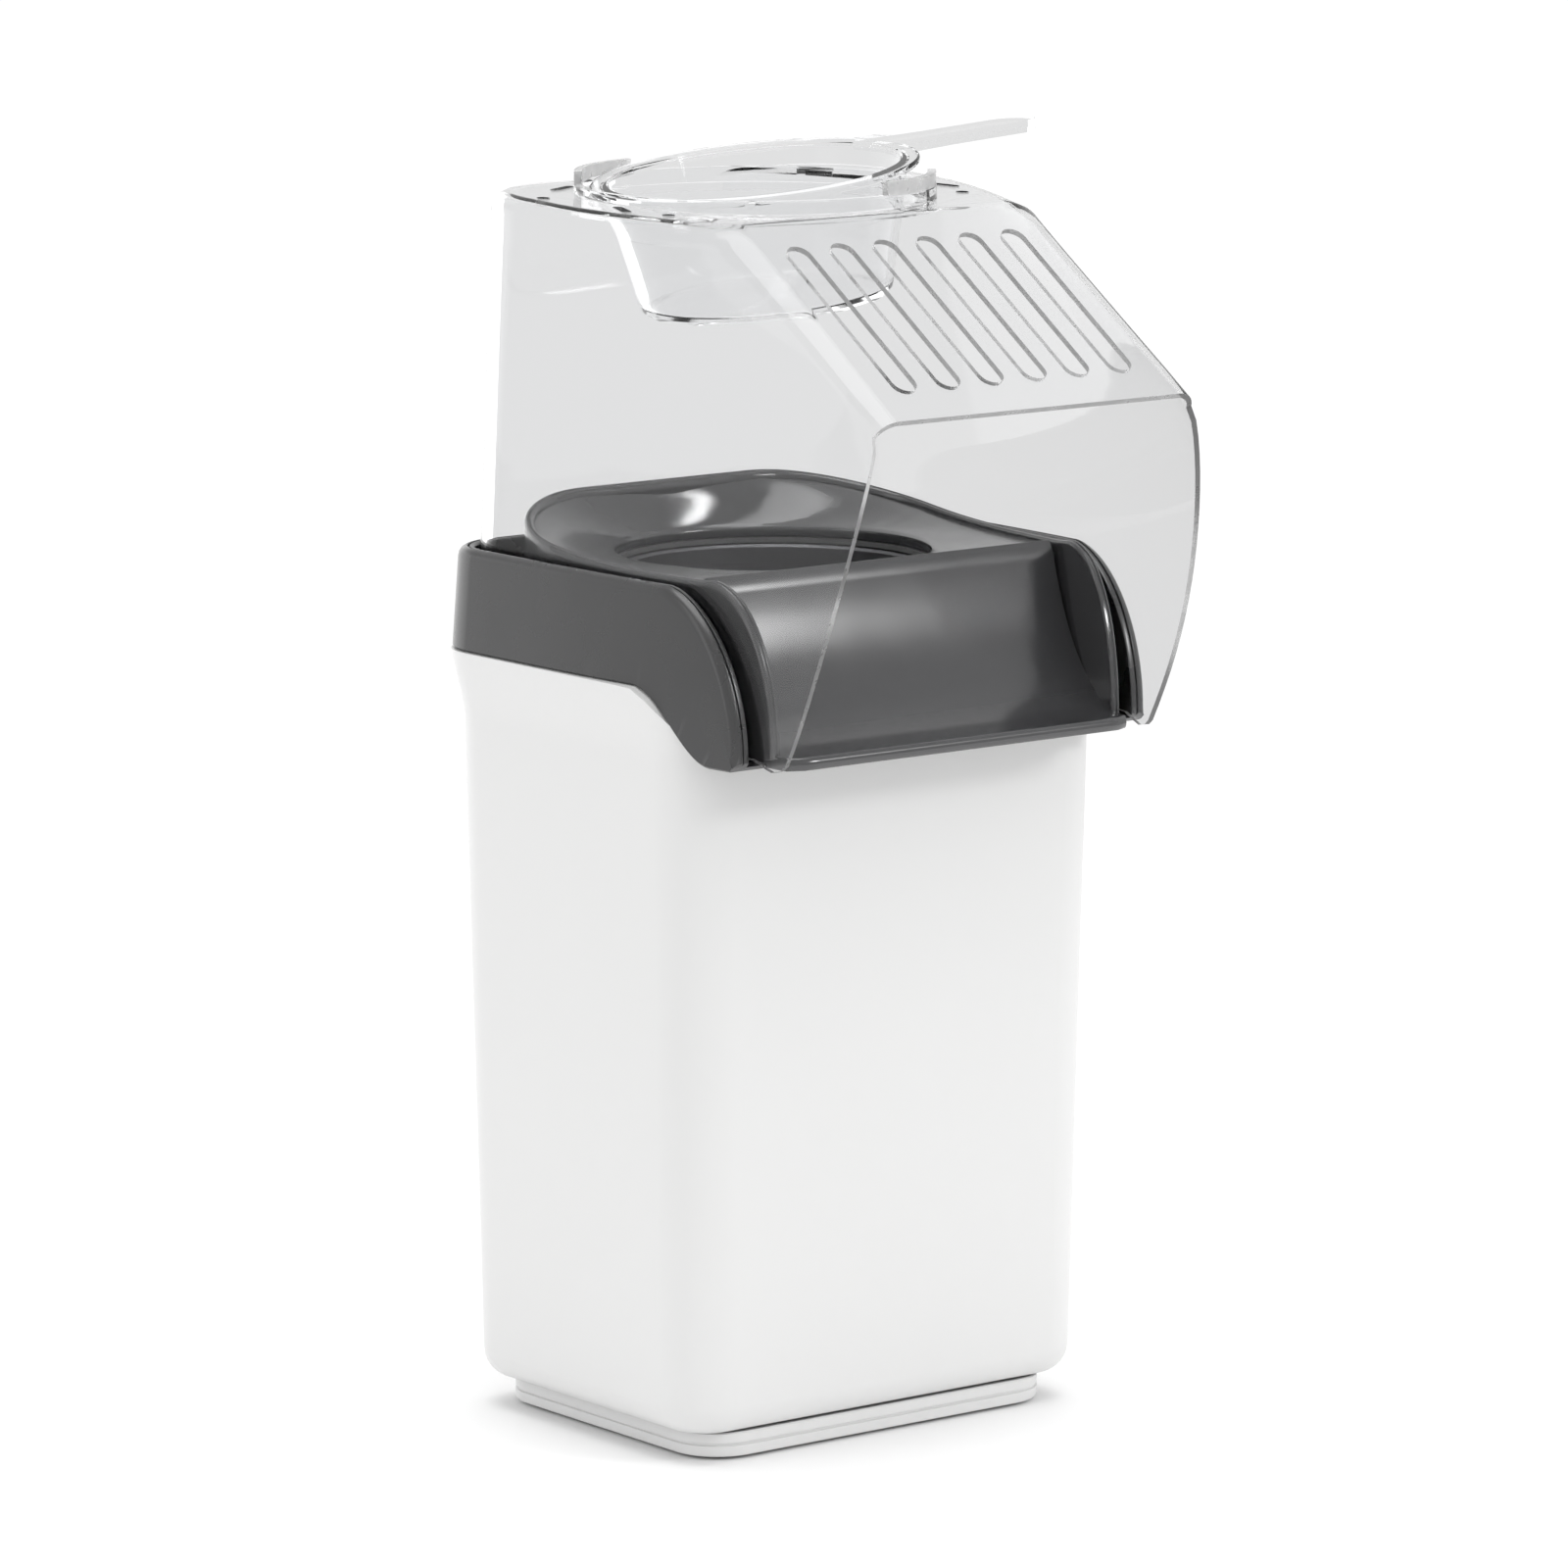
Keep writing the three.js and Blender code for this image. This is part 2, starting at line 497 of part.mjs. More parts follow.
// the cup is built upright round the origin, its flange's underside at z 0
function measuringCup() {
  const t = CUP.wall;
  const floorZ = t - CUP.depth;
  const bowl = turned([
    [0, -CUP.depth], [CUP.bottom - 2, -CUP.depth], [CUP.bottom, 2 - CUP.depth], [CUP.top, 0],
    [CUP.flange, 0], [CUP.flange, t], [CUP.top - t, t], [CUP.bottom - t, floorZ + 1.6],
    [CUP.bottom - t - 2, floorZ], [0, floorZ],
  ], 36, 0);
  const tongue = new THREE.Shape();
  const reach = 82;
  const half = 6.5;
  tongue.moveTo(CUP.flange - 2, -half - 2.5);
  tongue.lineTo(reach - half, -half);
  tongue.absarc(reach - half, 0, half, -Math.PI / 2, Math.PI / 2, false);
  tongue.lineTo(CUP.flange - 2, half + 2.5);
  const handle = new THREE.ExtrudeGeometry(tongue, { depth: 2.2, bevelEnabled: false, curveSegments: 8 });
  const bend = THREE.MathUtils.degToRad(3);
  handle.translate(-CUP.flange, 0, -0.5).rotateY(bend).translate(CUP.flange, 0, 0);
  const body = cut(join(bowl, solid(handle)), post(CUP.top - t - 0.3, 8, 0, 0, -1, 36, CUP.top - t));
  return body;
}

// ---------------------------------------------------------------- hot-air works
function poppingChamber() {
  const c = CHAMBER;
  let body = turned([
    [0, c.floorZ], [c.bottom - 3, c.floorZ], [c.bottom, c.floorZ + 3], [c.top, c.rimZ - 1.2],
    [DUCT.r, c.rimZ - 1.2], [DUCT.r, c.rimZ], [c.top - c.wall, c.rimZ],
    [c.bottom - c.wall, c.floorZ + 3.4], [c.bottom - 3.4, c.floorZ + c.wall], [0, c.floorZ + c.wall],
  ], 36);
  const louvres = 12;
  const louvreLean = THREE.MathUtils.degToRad(25);
  for (let i = 0; i < louvres; i += 1) {
    const geometry = new THREE.BoxGeometry(8, 1.6, 10);
    geometry.rotateX(louvreLean).translate(c.bottom, 0, c.floorZ + 12);
    geometry.rotateZ((2 * Math.PI * i) / louvres).translate(0, AXIS_Y, 0);
    body = cut(body, solid(geometry));
  }
  return body;
}

function chamberGasket() {
  return tubeRing(CHAMBER.top + 0.4, DUCT.r - 0.6, CHAMBER.rimZ + GAP, CHAMBER.rimZ + 1.5, 32);
}

function heaterDuct() {
  return tubeRing(DUCT.r - DUCT.wall, DUCT.r, DUCT.bottomZ, DUCT.topZ - GAP, 32);
}

const HEATER = { bottomZ: 66, topZ: 102, half: 23.5, coilR: 26.5, wire: 0.9, turns: 5 };

// two mica boards cross in the middle, each slotted half-way for the other
function micaBoard(slotFromTop) {
  const height = HEATER.topZ - HEATER.bottomZ;
  const middle = (HEATER.topZ + HEATER.bottomZ) / 2;
  const board = box(2 * HEATER.half, 0.8, height, 0, 0, middle);
  const slotZ = slotFromTop ? middle + height / 4 + 1 : middle - height / 4 - 1;
  return cut(board, box(1.5, 4, height / 2 + 2.6, 0, 0, slotZ));
}

class Helix extends THREE.Curve {
  constructor(radius, startZ, rise, turns) {
    super();
    Object.assign(this, { radius, startZ, rise, turns });
  }

  getPoint(t, target = new THREE.Vector3()) {
    const angle = 2 * Math.PI * this.turns * t;
    return target.set(
      this.radius * Math.cos(angle), AXIS_Y + this.radius * Math.sin(angle), this.startZ + this.rise * t);
  }
}

function heatingCoil() {
  const wire = new THREE.Shape();
  wire.absarc(0, 0, HEATER.wire, 0, 2 * Math.PI, false);
  const path = new Helix(HEATER.coilR, HEATER.bottomZ + 4, HEATER.topZ - HEATER.bottomZ - 8, HEATER.turns);
  const steps = 14 * HEATER.turns;
  const sweep = { extrudePath: path, steps, curveSegments: 3, bevelEnabled: false };
  return solid(new THREE.ExtrudeGeometry(wire, sweep));
}

function fanShroud() {
  const wall = 1.6;
  const r = DUCT.r;
  const top = DUCT.bottomZ - GAP;
  const floor = FAN.bottomZ - 5;
  const legOut = 24;
  const legFoot = PLATE_Z + 2 + GAP;
  let body = turned([
    [12, floor], [r, floor], [r, top], [r - wall, top],
    [r - wall, floor + wall], [12, floor + wall], [12, floor],
  ], 32);
  for (const [sx, sy] of signs) {
    body = join(body, post(2.5, floor + 1 - legFoot, sx * legOut, AXIS_Y + sy * legOut, legFoot, 10));
  }
  return body;
}

function fanImpeller() {
  const { r, bottomZ, height, blades } = FAN;
  const bore = MOTOR.shaft + 0.05;
  let body = turned([
    [bore, bottomZ], [r, bottomZ], [r, bottomZ + 1.2], [6, bottomZ + 1.2], [6, bottomZ + height],
    [bore, bottomZ + height], [bore, bottomZ],
  ], 28);
  for (let i = 0; i < blades; i += 1) {
    const geometry = new THREE.BoxGeometry(16, 1.2, height - 0.6);
    geometry.rotateZ(THREE.MathUtils.degToRad(-35)).translate(r - 8, 0, bottomZ + height / 2 + 0.3);
    geometry.rotateZ((2 * Math.PI * i) / blades).translate(0, AXIS_Y, 0);
    body = join(body, solid(geometry));
  }
  const reach = turned([[0, bottomZ - 1], [r, bottomZ - 1], [r, bottomZ + 20], [0, bottomZ + 20]], 28);
  return common(body, reach);
}

function motorCan() {
  const { r, bottomZ, topZ, shaft } = MOTOR;
  return turned([
    [shaft + 0.5, bottomZ], [r - 1.4, bottomZ], [r, bottomZ + 1.4], [r, topZ - 1.6], [r - 1.2, topZ - 1.6],
    [r - 1.2, bottomZ + 1.6], [shaft + 0.5, bottomZ + 1.6], [shaft + 0.5, bottomZ],
  ], 24);
}

function motorEndCap() {
  const { r, topZ, shaft } = MOTOR;
  return turned([
    [shaft + 0.05, topZ - 1.2], [r - 0.2, topZ - 1.2], [r - 0.2, topZ + 0.6],
    [4, topZ + 0.6], [4, topZ + 2.2],
    [shaft + 0.05, topZ + 2.2], [shaft + 0.05, topZ - 1.2],
  ], 24);
}

function motorRotor() {
  const { r, bottomZ, topZ } = MOTOR;
  return tubeRing(MOTOR.shaft + 0.05, r - 3, bottomZ + 4, topZ - 4, 24);
}

function motorShaft() {
  return post(MOTOR.shaft, FAN.bottomZ + FAN.height - MOTOR.bottomZ + 1, 0, AXIS_Y, MOTOR.bottomZ - 1.5, 20);
}

function motorBracket() {
  const z = FAN.bottomZ - 5 - GAP;
  let body = box(56, 14, 1.4, 0, AXIS_Y, z - 0.7);
  body = cut(body, post(5, 6, 0, AXIS_Y, z - 4, 24));
  return body;
}

const RECTIFIER = { x: 36, y: 4, z: 25 };

function rectifierBoard() {
  return box(1.6, 30, 20, RECTIFIER.x, RECTIFIER.y, RECTIFIER.z);
}

function diode(i) {
  const geometry = new THREE.CylinderGeometry(1.5, 1.5, 6, 14).rotateX(Math.PI / 2);
  return solid(geometry.translate(RECTIFIER.x - 2.8, RECTIFIER.y - 10.5 + 7 * i, RECTIFIER.z));
}

function thermostat() {
  const x = DUCT.r + GAP;
  const base = box(1.2, 20, 12, x + 0.6, AXIS_Y, 120);
  const can = new THREE.CylinderGeometry(6, 6, 6, 24).rotateZ(Math.PI / 2).translate(x + 4, AXIS_Y, 120);
  return join(base, solid(can));
}

function thermalFuse() {
  const x = -(DUCT.r + GAP + 2.2);
  const body = new THREE.CylinderGeometry(2, 2, 11, 16).translate(x, AXIS_Y, 120);
  const leads = new THREE.CylinderGeometry(0.6, 0.6, 19, 8).translate(x, AXIS_Y, 120);
  return join(solid(body), solid(leads));
}

// ---------------------------------------------------------------- back of the base
const BACK_Y = 45.3;
const ROCKER_TILT = THREE.MathUtils.degToRad(10);   // each way; it rests at off

function switchBody() {
  const flange = box(SWITCH.width + 3, 1.4, SWITCH.height + 3, SWITCH.x, BACK_Y + 1.1, SWITCH.z);
  const shell = box(SWITCH.width, 14, SWITCH.height, SWITCH.x, BACK_Y - 5.5, SWITCH.z);
  const well = box(SWITCH.width - 3, 11, SWITCH.height - 3, SWITCH.x, BACK_Y + 1, SWITCH.z);
  return cut(join(flange, shell), well);
}

// the rocker turns on a level pin along X inside the switch's well
function switchRocker() {
  const halfHeight = (SWITCH.height - 4.4) / 2;
  const shape = new THREE.Shape();
  shape.moveTo(-2.6, -halfHeight + 1);
  shape.lineTo(2.6, -halfHeight);
  shape.lineTo(1.4, 0);
  shape.lineTo(2.6, halfHeight);
  shape.lineTo(-2.6, halfHeight - 1);
  const depth = SWITCH.width - 3.8;
  const geometry = new THREE.ExtrudeGeometry(shape, { depth, bevelEnabled: false });
  const turn = new THREE.Matrix4().makeBasis(
    new THREE.Vector3(0, 1, 0), new THREE.Vector3(0, 0, 1), new THREE.Vector3(1, 0, 0));
  geometry.translate(0, 0, -depth / 2).applyMatrix4(turn).rotateX(-ROCKER_TILT);
  geometry.translate(SWITCH.x, BACK_Y + 0.6, SWITCH.z);
  return solid(geometry);
}

function cordGland() {
  const y = BACK_Y - 3;
  const geometry = (radius, length, from) => solid(
    new THREE.CylinderGeometry(radius, radius, length, 18).translate(GLAND.x, from + length / 2, GLAND.z));
  const outside = geometry(GLAND.r + 1.6, 1.6, BACK_Y + 0.5);
  const body = join(geometry(GLAND.r, 5.5, y), outside);
  return cut(body, geometry(2.4, 12, y - 2));
}

// ---------------------------------------------------------------- assembly
function piece(name, body, look) {
  const mesh = new THREE.Mesh(geometryOf(body), new THREE.MeshStandardMaterial(look));
  mesh.name = name;
  return mesh;
}

const popcornMaker = new THREE.Group();
const works = new THREE.Group();
popcornMaker.add(works);

works.add(
  piece('housing_shell', housingShell(), WHITE),
  piece('base_cover', baseCover(), WHITE),
  piece('collar', collar(), DARK),
  piece('chute_liner', chuteLiner(), DARK),
  piece('hood', hood(), CLEAR),
  piece('popping_chamber', poppingChamber(), ALUMINIUM),
  piece('chamber_gasket', chamberGasket(), SILICONE),
  piece('heater_duct', heaterDuct(), STEEL),
  piece('heating_coil', heatingCoil(), STEEL),
  piece('fan_shroud', fanShroud(), BLACK),
  piece('fan_impeller', fanImpeller(), BLACK),
  piece('motor_can', motorCan(), STEEL),
  piece('motor_end_cap', motorEndCap(), BLACK),
  piece('motor_rotor', motorRotor(), STEEL),
  piece('motor_shaft', motorShaft(), STEEL),
  piece('motor_bracket', motorBracket(), STEEL),
  piece('rectifier_board', rectifierBoard(), BOARD),
  piece('thermostat', thermostat(), ALUMINIUM),
  piece('thermal_fuse', thermalFuse(), ALUMINIUM),
  piece('switch_body', switchBody(), BLACK),
  piece('switch_rocker', switchRocker(), BLACK),
  piece('cord_gland', cordGland(), RUBBER),
);

const boardAlong = piece('mica_board_wide', micaBoard(true), MICA);
boardAlong.position.set(0, AXIS_Y, 0);
const boardAcross = piece('mica_board_deep', micaBoard(false), MICA);
boardAcross.position.set(0, AXIS_Y, 0);
boardAcross.rotation.z = Math.PI / 2;
works.add(boardAlong, boardAcross);

signs.forEach(([sx, sy], i) => {
  works.add(piece(`foot_${i + 1}`, rubberFoot(sx, sy), RUBBER));
  works.add(piece(`base_screw_${i + 1}`, baseScrew(sx, sy), STEEL));
  works.add(piece(`diode_${i + 1}`, diode(i), BLACK));
});

const cup = piece('measuring_cup', measuringCup(), CLEAR);
cup.position.set(0, CUP_AXIS_Y, CUP.rimZ);
cup.rotation.y = -THREE.MathUtils.degToRad(CUP.tilt);
works.add(cup);

// the frame's origin is the middle of the whole object's footprint, on the floor
const bounds = new THREE.Box3().setFromObject(popcornMaker, true);
const middle = bounds.getCenter(new THREE.Vector3());
works.position.set(-middle.x, -middle.y, -bounds.min.z);
popcornMaker.updateMatrixWorld(true);

export default popcornMaker;
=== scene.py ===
# %% [markdown]
# # A hot-air popcorn maker
# The real object is a white upright housing with a heater and a fan inside, a dark collar and chute
# on top of it, a clear lift-off hood, and a clear measuring cup that closes the hood. The mechanical
# model already has every piece in place, so it comes in first, as a frame that nothing moves. Each
# visible piece is then built again here with finer curves, and hung on the body that it moves with.

# %% Bring in the mechanical frame
import math

import bmesh
import bpy
from mathutils import Matrix, Vector


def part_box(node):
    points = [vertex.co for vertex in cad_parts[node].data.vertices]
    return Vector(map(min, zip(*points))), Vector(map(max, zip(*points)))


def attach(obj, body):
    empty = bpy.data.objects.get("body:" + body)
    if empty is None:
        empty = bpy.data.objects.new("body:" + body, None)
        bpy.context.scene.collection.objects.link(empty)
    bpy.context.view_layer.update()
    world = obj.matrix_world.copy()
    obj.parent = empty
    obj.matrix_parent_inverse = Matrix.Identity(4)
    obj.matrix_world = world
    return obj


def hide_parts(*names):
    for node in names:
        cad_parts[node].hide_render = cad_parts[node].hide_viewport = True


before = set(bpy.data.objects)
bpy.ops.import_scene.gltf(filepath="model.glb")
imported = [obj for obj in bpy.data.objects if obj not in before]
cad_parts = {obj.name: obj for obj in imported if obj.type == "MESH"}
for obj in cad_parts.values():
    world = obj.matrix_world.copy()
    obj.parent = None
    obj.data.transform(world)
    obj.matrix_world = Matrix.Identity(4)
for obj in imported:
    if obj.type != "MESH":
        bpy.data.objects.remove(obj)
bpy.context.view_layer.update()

print("nodes:", len(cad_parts))

# %% [markdown]
# The makers of such a machine measure everything from the centre line of the popping chamber. The
# same is done here: a point is given in millimetres from that line and from the floor, and `place`
# turns it into Blender's metres. A whole piece could be built at the origin and moved afterwards,
# but then each piece would need a move of its own.

# %% Measure from the popping chamber's centre line
MM = 0.001
CHAMBER_LOW, CHAMBER_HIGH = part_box("popping_chamber")
LINE_X = (CHAMBER_LOW.x + CHAMBER_HIGH.x) / 2
LINE_Y = (CHAMBER_LOW.y + CHAMBER_HIGH.y) / 2 - 1 * MM    # the body's middle is 1 mm in front of it


def place(x, y, z):
    return Vector((LINE_X + x * MM, LINE_Y + y * MM, z * MM))


def lerp(a, b, share):
    return a + (b - a) * share


def ease(share):
    share = max(0.0, min(1.0, share))
    return share * share * (3 - 2 * share)


print("body's middle:", tuple(round(v, 4) for v in place(0, 0, 0)))

# %% [markdown]
# ## Camera, floor and light
# A product like this is shown with a long lens, so that upright edges stay nearly parallel. The
# camera is put on a line from the middle of the object, by its angle to the side, its height above
# the horizon and its distance. That is easier to adjust than three loose coordinates.

# %% Camera
TURN = math.radians(37.72)        # how far the camera stands to the left of the front
RAISE = math.radians(9.79)
DISTANCE = 1.9685
AIM = place(1.43, -1.10, 146.77)

away = Vector((-math.sin(TURN) * math.cos(RAISE), -math.cos(TURN) * math.cos(RAISE), math.sin(RAISE)))
camera_data = bpy.data.cameras.new("camera")
camera_data.lens = 194.1
camera = bpy.data.objects.new("camera", camera_data)
camera.location = AIM + away * DISTANCE
camera.rotation_euler = (-away).to_track_quat("-Z", "Y").to_euler()
bpy.context.scene.collection.objects.link(camera)
bpy.context.scene.camera = camera
bpy.context.scene.view_settings.view_transform = "Standard"
print("camera at", tuple(round(v, 3) for v in camera.location))

# %% [markdown]
# White plastic on a white ground needs soft light from everywhere, and a few brighter panels whose
# reflections draw the shape of the dark parts. The surroundings give the even light. The panels are
# area lights, because their size sets how soft a shadow is and how wide a reflection looks.

# %% Surroundings
ROOM_LIGHT, BACKDROP_LIGHT = 0.78, 1.05
world = bpy.data.worlds.new("white_room")
bpy.context.scene.world = world
world.use_nodes = True
room = world.node_tree.nodes["Background"]
room.inputs["Color"].default_value = (1.0, 1.0, 1.0, 1)
room.inputs["Strength"].default_value = ROOM_LIGHT
wall_behind = world.node_tree.nodes.new("ShaderNodeBackground")
wall_behind.inputs["Color"].default_value = (1.0, 1.0, 1.0, 1)
wall_behind.inputs["Strength"].default_value = BACKDROP_LIGHT
seen = world.node_tree.nodes.new("ShaderNodeLightPath")
choose = world.node_tree.nodes.new("ShaderNodeMixShader")
world.node_tree.links.new(seen.outputs["Is Camera Ray"], choose.inputs[0])
world.node_tree.links.new(room.outputs[0], choose.inputs[1])
world.node_tree.links.new(wall_behind.outputs[0], choose.inputs[2])
world.node_tree.links.new(choose.outputs[0], world.node_tree.nodes["World Output"].inputs["Surface"])
print("room light:", ROOM_LIGHT, "backdrop:", BACKDROP_LIGHT)

# %% [markdown]
# Three panels and a wide, soft lamp overhead stand round the machine. One panel is for the left side,
# one puts a bright band on the concave ramp, and one behind lights the collar's far corner. A panel is
# placed by its angle round the object and its height, which is how a studio is described.

# %% Light panels
BODY_MIDDLE = place(0, 0, 150)
CEILING_LIGHT, CEILING_SPREAD = 1.35, 50


def light_panel(name, side, height, distance, width, tall, watts):
    """side and height are degrees round and above the object, from its front."""
    a, e = math.radians(side), math.radians(height)
    direction = Vector((math.sin(a) * math.cos(e), -math.cos(a) * math.cos(e), math.sin(e)))
    data = bpy.data.lights.new(name, "AREA")
    data.shape = "RECTANGLE"
    data.size = width
    data.size_y = tall
    data.energy = watts
    panel = bpy.data.objects.new(name, data)
    panel.location = BODY_MIDDLE + direction * distance
    panel.rotation_euler = (-direction).to_track_quat("-Z", "Y").to_euler()
    bpy.context.scene.collection.objects.link(panel)
    return panel


light_panel("panel_left", -98, 20, 1.3, 0.5, 1.2, 1.3)
light_panel("panel_ramp", 29, 26, 1.2, 0.3, 0.17, 2.9)
light_panel("panel_back", -177, 0, 1.3, 1.6, 1.1, 4.0)
ceiling_data = bpy.data.lights.new("ceiling", "SUN")
ceiling_data.energy = CEILING_LIGHT
ceiling_data.angle = math.radians(CEILING_SPREAD)
ceiling = bpy.data.objects.new("ceiling", ceiling_data)
ceiling.location = place(0, 0, 900)
bpy.context.scene.collection.objects.link(ceiling)

# %% [markdown]
# A finish is a Principled shader with a few patterns plugged into it. These helpers each add one kind of
# pattern. Small helpers are easier to follow than one large node tree, and every finish can share them.


# %% Node helpers for the finishes
def finish(name, base, roughness, metallic=0.0):
    """A Principled material with its number sockets set directly on the shader."""
    material = bpy.data.materials.new(name)
    material.use_nodes = True
    shader = material.node_tree.nodes["Principled BSDF"]
    shader.inputs["Base Color"].default_value = (*base, 1)
    shader.inputs["Roughness"].default_value = roughness
    shader.inputs["Metallic"].default_value = metallic
    return material, shader


def grain(material, scale, detail=4.0, stretch=(1, 1, 1), kind="NOISE"):
    """A pattern in the object's own space, as a node. stretch above 1 makes it finer that way."""
    nodes, links = material.node_tree.nodes, material.node_tree.links
    where = nodes.new("ShaderNodeTexCoord")
    turn = nodes.new("ShaderNodeMapping")
    turn.inputs["Scale"].default_value = stretch
    if kind == "NOISE":
        pattern = nodes.new("ShaderNodeTexNoise")
        pattern.inputs["Detail"].default_value = detail
    else:
        pattern = nodes.new("ShaderNodeTexVoronoi")
    pattern.inputs["Scale"].default_value = scale
    links.new(where.outputs["Object"], turn.inputs["Vector"])
    links.new(turn.outputs["Vector"], pattern.inputs["Vector"])
    return pattern.outputs["Fac"] if kind == "NOISE" else pattern.outputs["Distance"]


print("patterns ready")

# %% [markdown]
# A pattern by itself is a value from 0 to 1. It becomes a finish when it is spread over a range of
# roughness, or mixes two colours, or lifts the surface as a bump.


# %% What a pattern can drive
def between(material, pattern, low, high, low_at=0.3, high_at=0.7):
    """Spreads a pattern's middle values over low..high, for a roughness or a height."""
    spread = material.node_tree.nodes.new("ShaderNodeMapRange")
    spread.inputs["From Min"].default_value = low_at
    spread.inputs["From Max"].default_value = high_at
    spread.inputs["To Min"].default_value = low
    spread.inputs["To Max"].default_value = high
    material.node_tree.links.new(pattern, spread.inputs["Value"])
    return spread.outputs["Result"]


def two_colours(material, pattern, first, second):
    mix = material.node_tree.nodes.new("ShaderNodeMix")
    mix.data_type = "RGBA"
    mix.inputs[6].default_value = (*first, 1)
    mix.inputs[7].default_value = (*second, 1)
    material.node_tree.links.new(pattern, mix.inputs[0])
    return mix.outputs[2]


def raise_surface(material, shader, pattern, depth, strength=1.0, under=None):
    """Bump: depth in metres. under is another bump's Normal output that this one lies on."""
    bump = material.node_tree.nodes.new("ShaderNodeBump")
    bump.inputs["Strength"].default_value = strength
    bump.inputs["Distance"].default_value = depth
    material.node_tree.links.new(pattern, bump.inputs["Height"])
    if under is not None:
        material.node_tree.links.new(under, bump.inputs["Normal"])
    material.node_tree.links.new(bump.outputs["Normal"], shader.inputs["Normal"])
    return bump.outputs["Normal"]


print("finish helpers ready")

# %% [markdown]
# The floor is a round sheet of pale paper. It reaches as far as the soft shadow does, and beyond it the
# white room goes on. The faint grain keeps it from looking like a flat fill.

# %% Floor
FLOOR_RADIUS = 0.75
paper, paper_shader = finish("pale_paper", (0.93, 0.93, 0.93), 0.75)
fibres = grain(paper, 900, 3)
paper.node_tree.links.new(between(paper, fibres, 0.7, 0.85), paper_shader.inputs["Roughness"])
floor_mesh = bpy.data.meshes.new("floor")
disc = bmesh.new()
bmesh.ops.create_circle(disc, cap_ends=True, segments=96, radius=FLOOR_RADIUS)
disc.to_mesh(floor_mesh)
disc.free()
floor = bpy.data.objects.new("floor", floor_mesh)
floor.location = place(0, 0, -0.2)
floor.data.materials.append(paper)
bpy.context.scene.collection.objects.link(floor)
print("floor:", 2 * FLOOR_RADIUS, "m across")

# %% [markdown]
# ## Finishes
# Every surface on the machine is moulded plastic or bent metal. A moulded part is never perfectly
# even: the steel mould leaves a very fine spark texture, the colour clouds a little where the melt
# cooled slowly, and hands polish some spots more than others. Three quiet noises do that: one for
# the colour, one for the roughness and a fine one for the bump.


# %% White housing plastic
def moulded_plastic(name, light, dark, roughness, texture=0.00003, sheen=0.5, cloud=14.0):
    material, shader = finish(name, light, roughness)
    links = material.node_tree.links
    clouds = grain(material, cloud, 3)
    links.new(two_colours(material, clouds, light, dark), shader.inputs["Base Color"])
    polish = grain(material, 55, 5)
    uneven = between(material, polish, roughness - 0.03, roughness + 0.04, 0.1, 0.9)
    links.new(uneven, shader.inputs["Roughness"])
    spark = grain(material, 2600, 2)
    flow = grain(material, 22, 2)
    waves = raise_surface(material, shader, flow, 0.0002, 0.1)
    raise_surface(material, shader, spark, texture, 0.025, waves)
    shader.inputs["Specular IOR Level"].default_value = sheen
    shader.inputs["IOR"].default_value = 1.5
    return material


white_plastic = moulded_plastic(
    "white_plastic", (0.75, 0.75, 0.747), (0.735, 0.735, 0.732), 0.36)
white_shader = white_plastic.node_tree.nodes["Principled BSDF"]
white_shader.inputs["Coat Weight"].default_value = 0.15
white_shader.inputs["Coat Roughness"].default_value = 0.2
print(white_plastic.name, "ready")

# %% [markdown]
# The collar and the chute are moulded from the same dark grey plastic. The chute's mould was polished
# further, because popcorn has to slide down it, so it gets a lower roughness and a clearer shine. Its
# colour is also painted a little lighter than the collar's: painted light that lifts the shade on its
# cheeks under the hood.

# %% Dark plastics
dark_plastic = moulded_plastic(
    "dark_plastic", (0.029, 0.029, 0.030), (0.024, 0.024, 0.025), 0.27, 0.00004, 0.85)

chute_plastic_painted_light = moulded_plastic(
    "chute_plastic_painted_light", (0.040, 0.040, 0.042), (0.036, 0.036, 0.038), 0.17, 0.00003, 0.95)
print(dark_plastic.name, "and", chute_plastic_painted_light.name, "ready")

# %% [markdown]
# The switch, the gland and the fan are a duller black. Rubber feet and the silicone gasket hardly shine
# at all. They are the same recipe with other numbers, as the real ones are all moulded too.

# %% Black plastic, rubber and silicone
black_plastic = moulded_plastic(
    "black_plastic", (0.022, 0.022, 0.023), (0.03, 0.03, 0.031), 0.5, 0.00006)
rubber = moulded_plastic(
    "foot_rubber", (0.03, 0.03, 0.03), (0.05, 0.05, 0.05), 0.78, 0.00012)
# The gasket's grey is painted dark: painted shade for the unlit chamber hole, where it shows.
silicone = moulded_plastic(
    "silicone", (0.10, 0.10, 0.10), (0.13, 0.13, 0.13), 0.65, 0.00008)
print("dull finishes:", black_plastic.name, rubber.name, silicone.name)

# %% [markdown]
# The hood and the cup are clear polycarbonate, shown by a refracting shader on a wall with real
# thickness. The plastic bends light more than it does here. At the real value the edges came out black,
# most likely because a renderer follows light through only so many surfaces. So the bending is kept
# low, a coat gives back the shine, and the cut edges get a painted grey of their own: painted shade in
# place of the lines that the bending would draw there. A slow, shallow wave bends what lies behind a
# little, as injection moulding does.


# %% Clear plastic
CLEAR_BENDING = 1.12


def clear_plastic(name, tint, wave, gloss):
    material, shader = finish(name, tint, 0.02)
    shader.inputs["Transmission Weight"].default_value = 1.0
    shader.inputs["IOR"].default_value = CLEAR_BENDING
    shader.inputs["Coat Weight"].default_value = gloss
    shader.inputs["Coat Roughness"].default_value = 0.04
    links = material.node_tree.links
    handled = grain(material, 40, 6)
    links.new(between(material, handled, 0.015, 0.075, 0.45, 0.8), shader.inputs["Roughness"])
    slow = grain(material, 16, 1)
    raise_surface(material, shader, slow, 0.0004, wave)
    return material


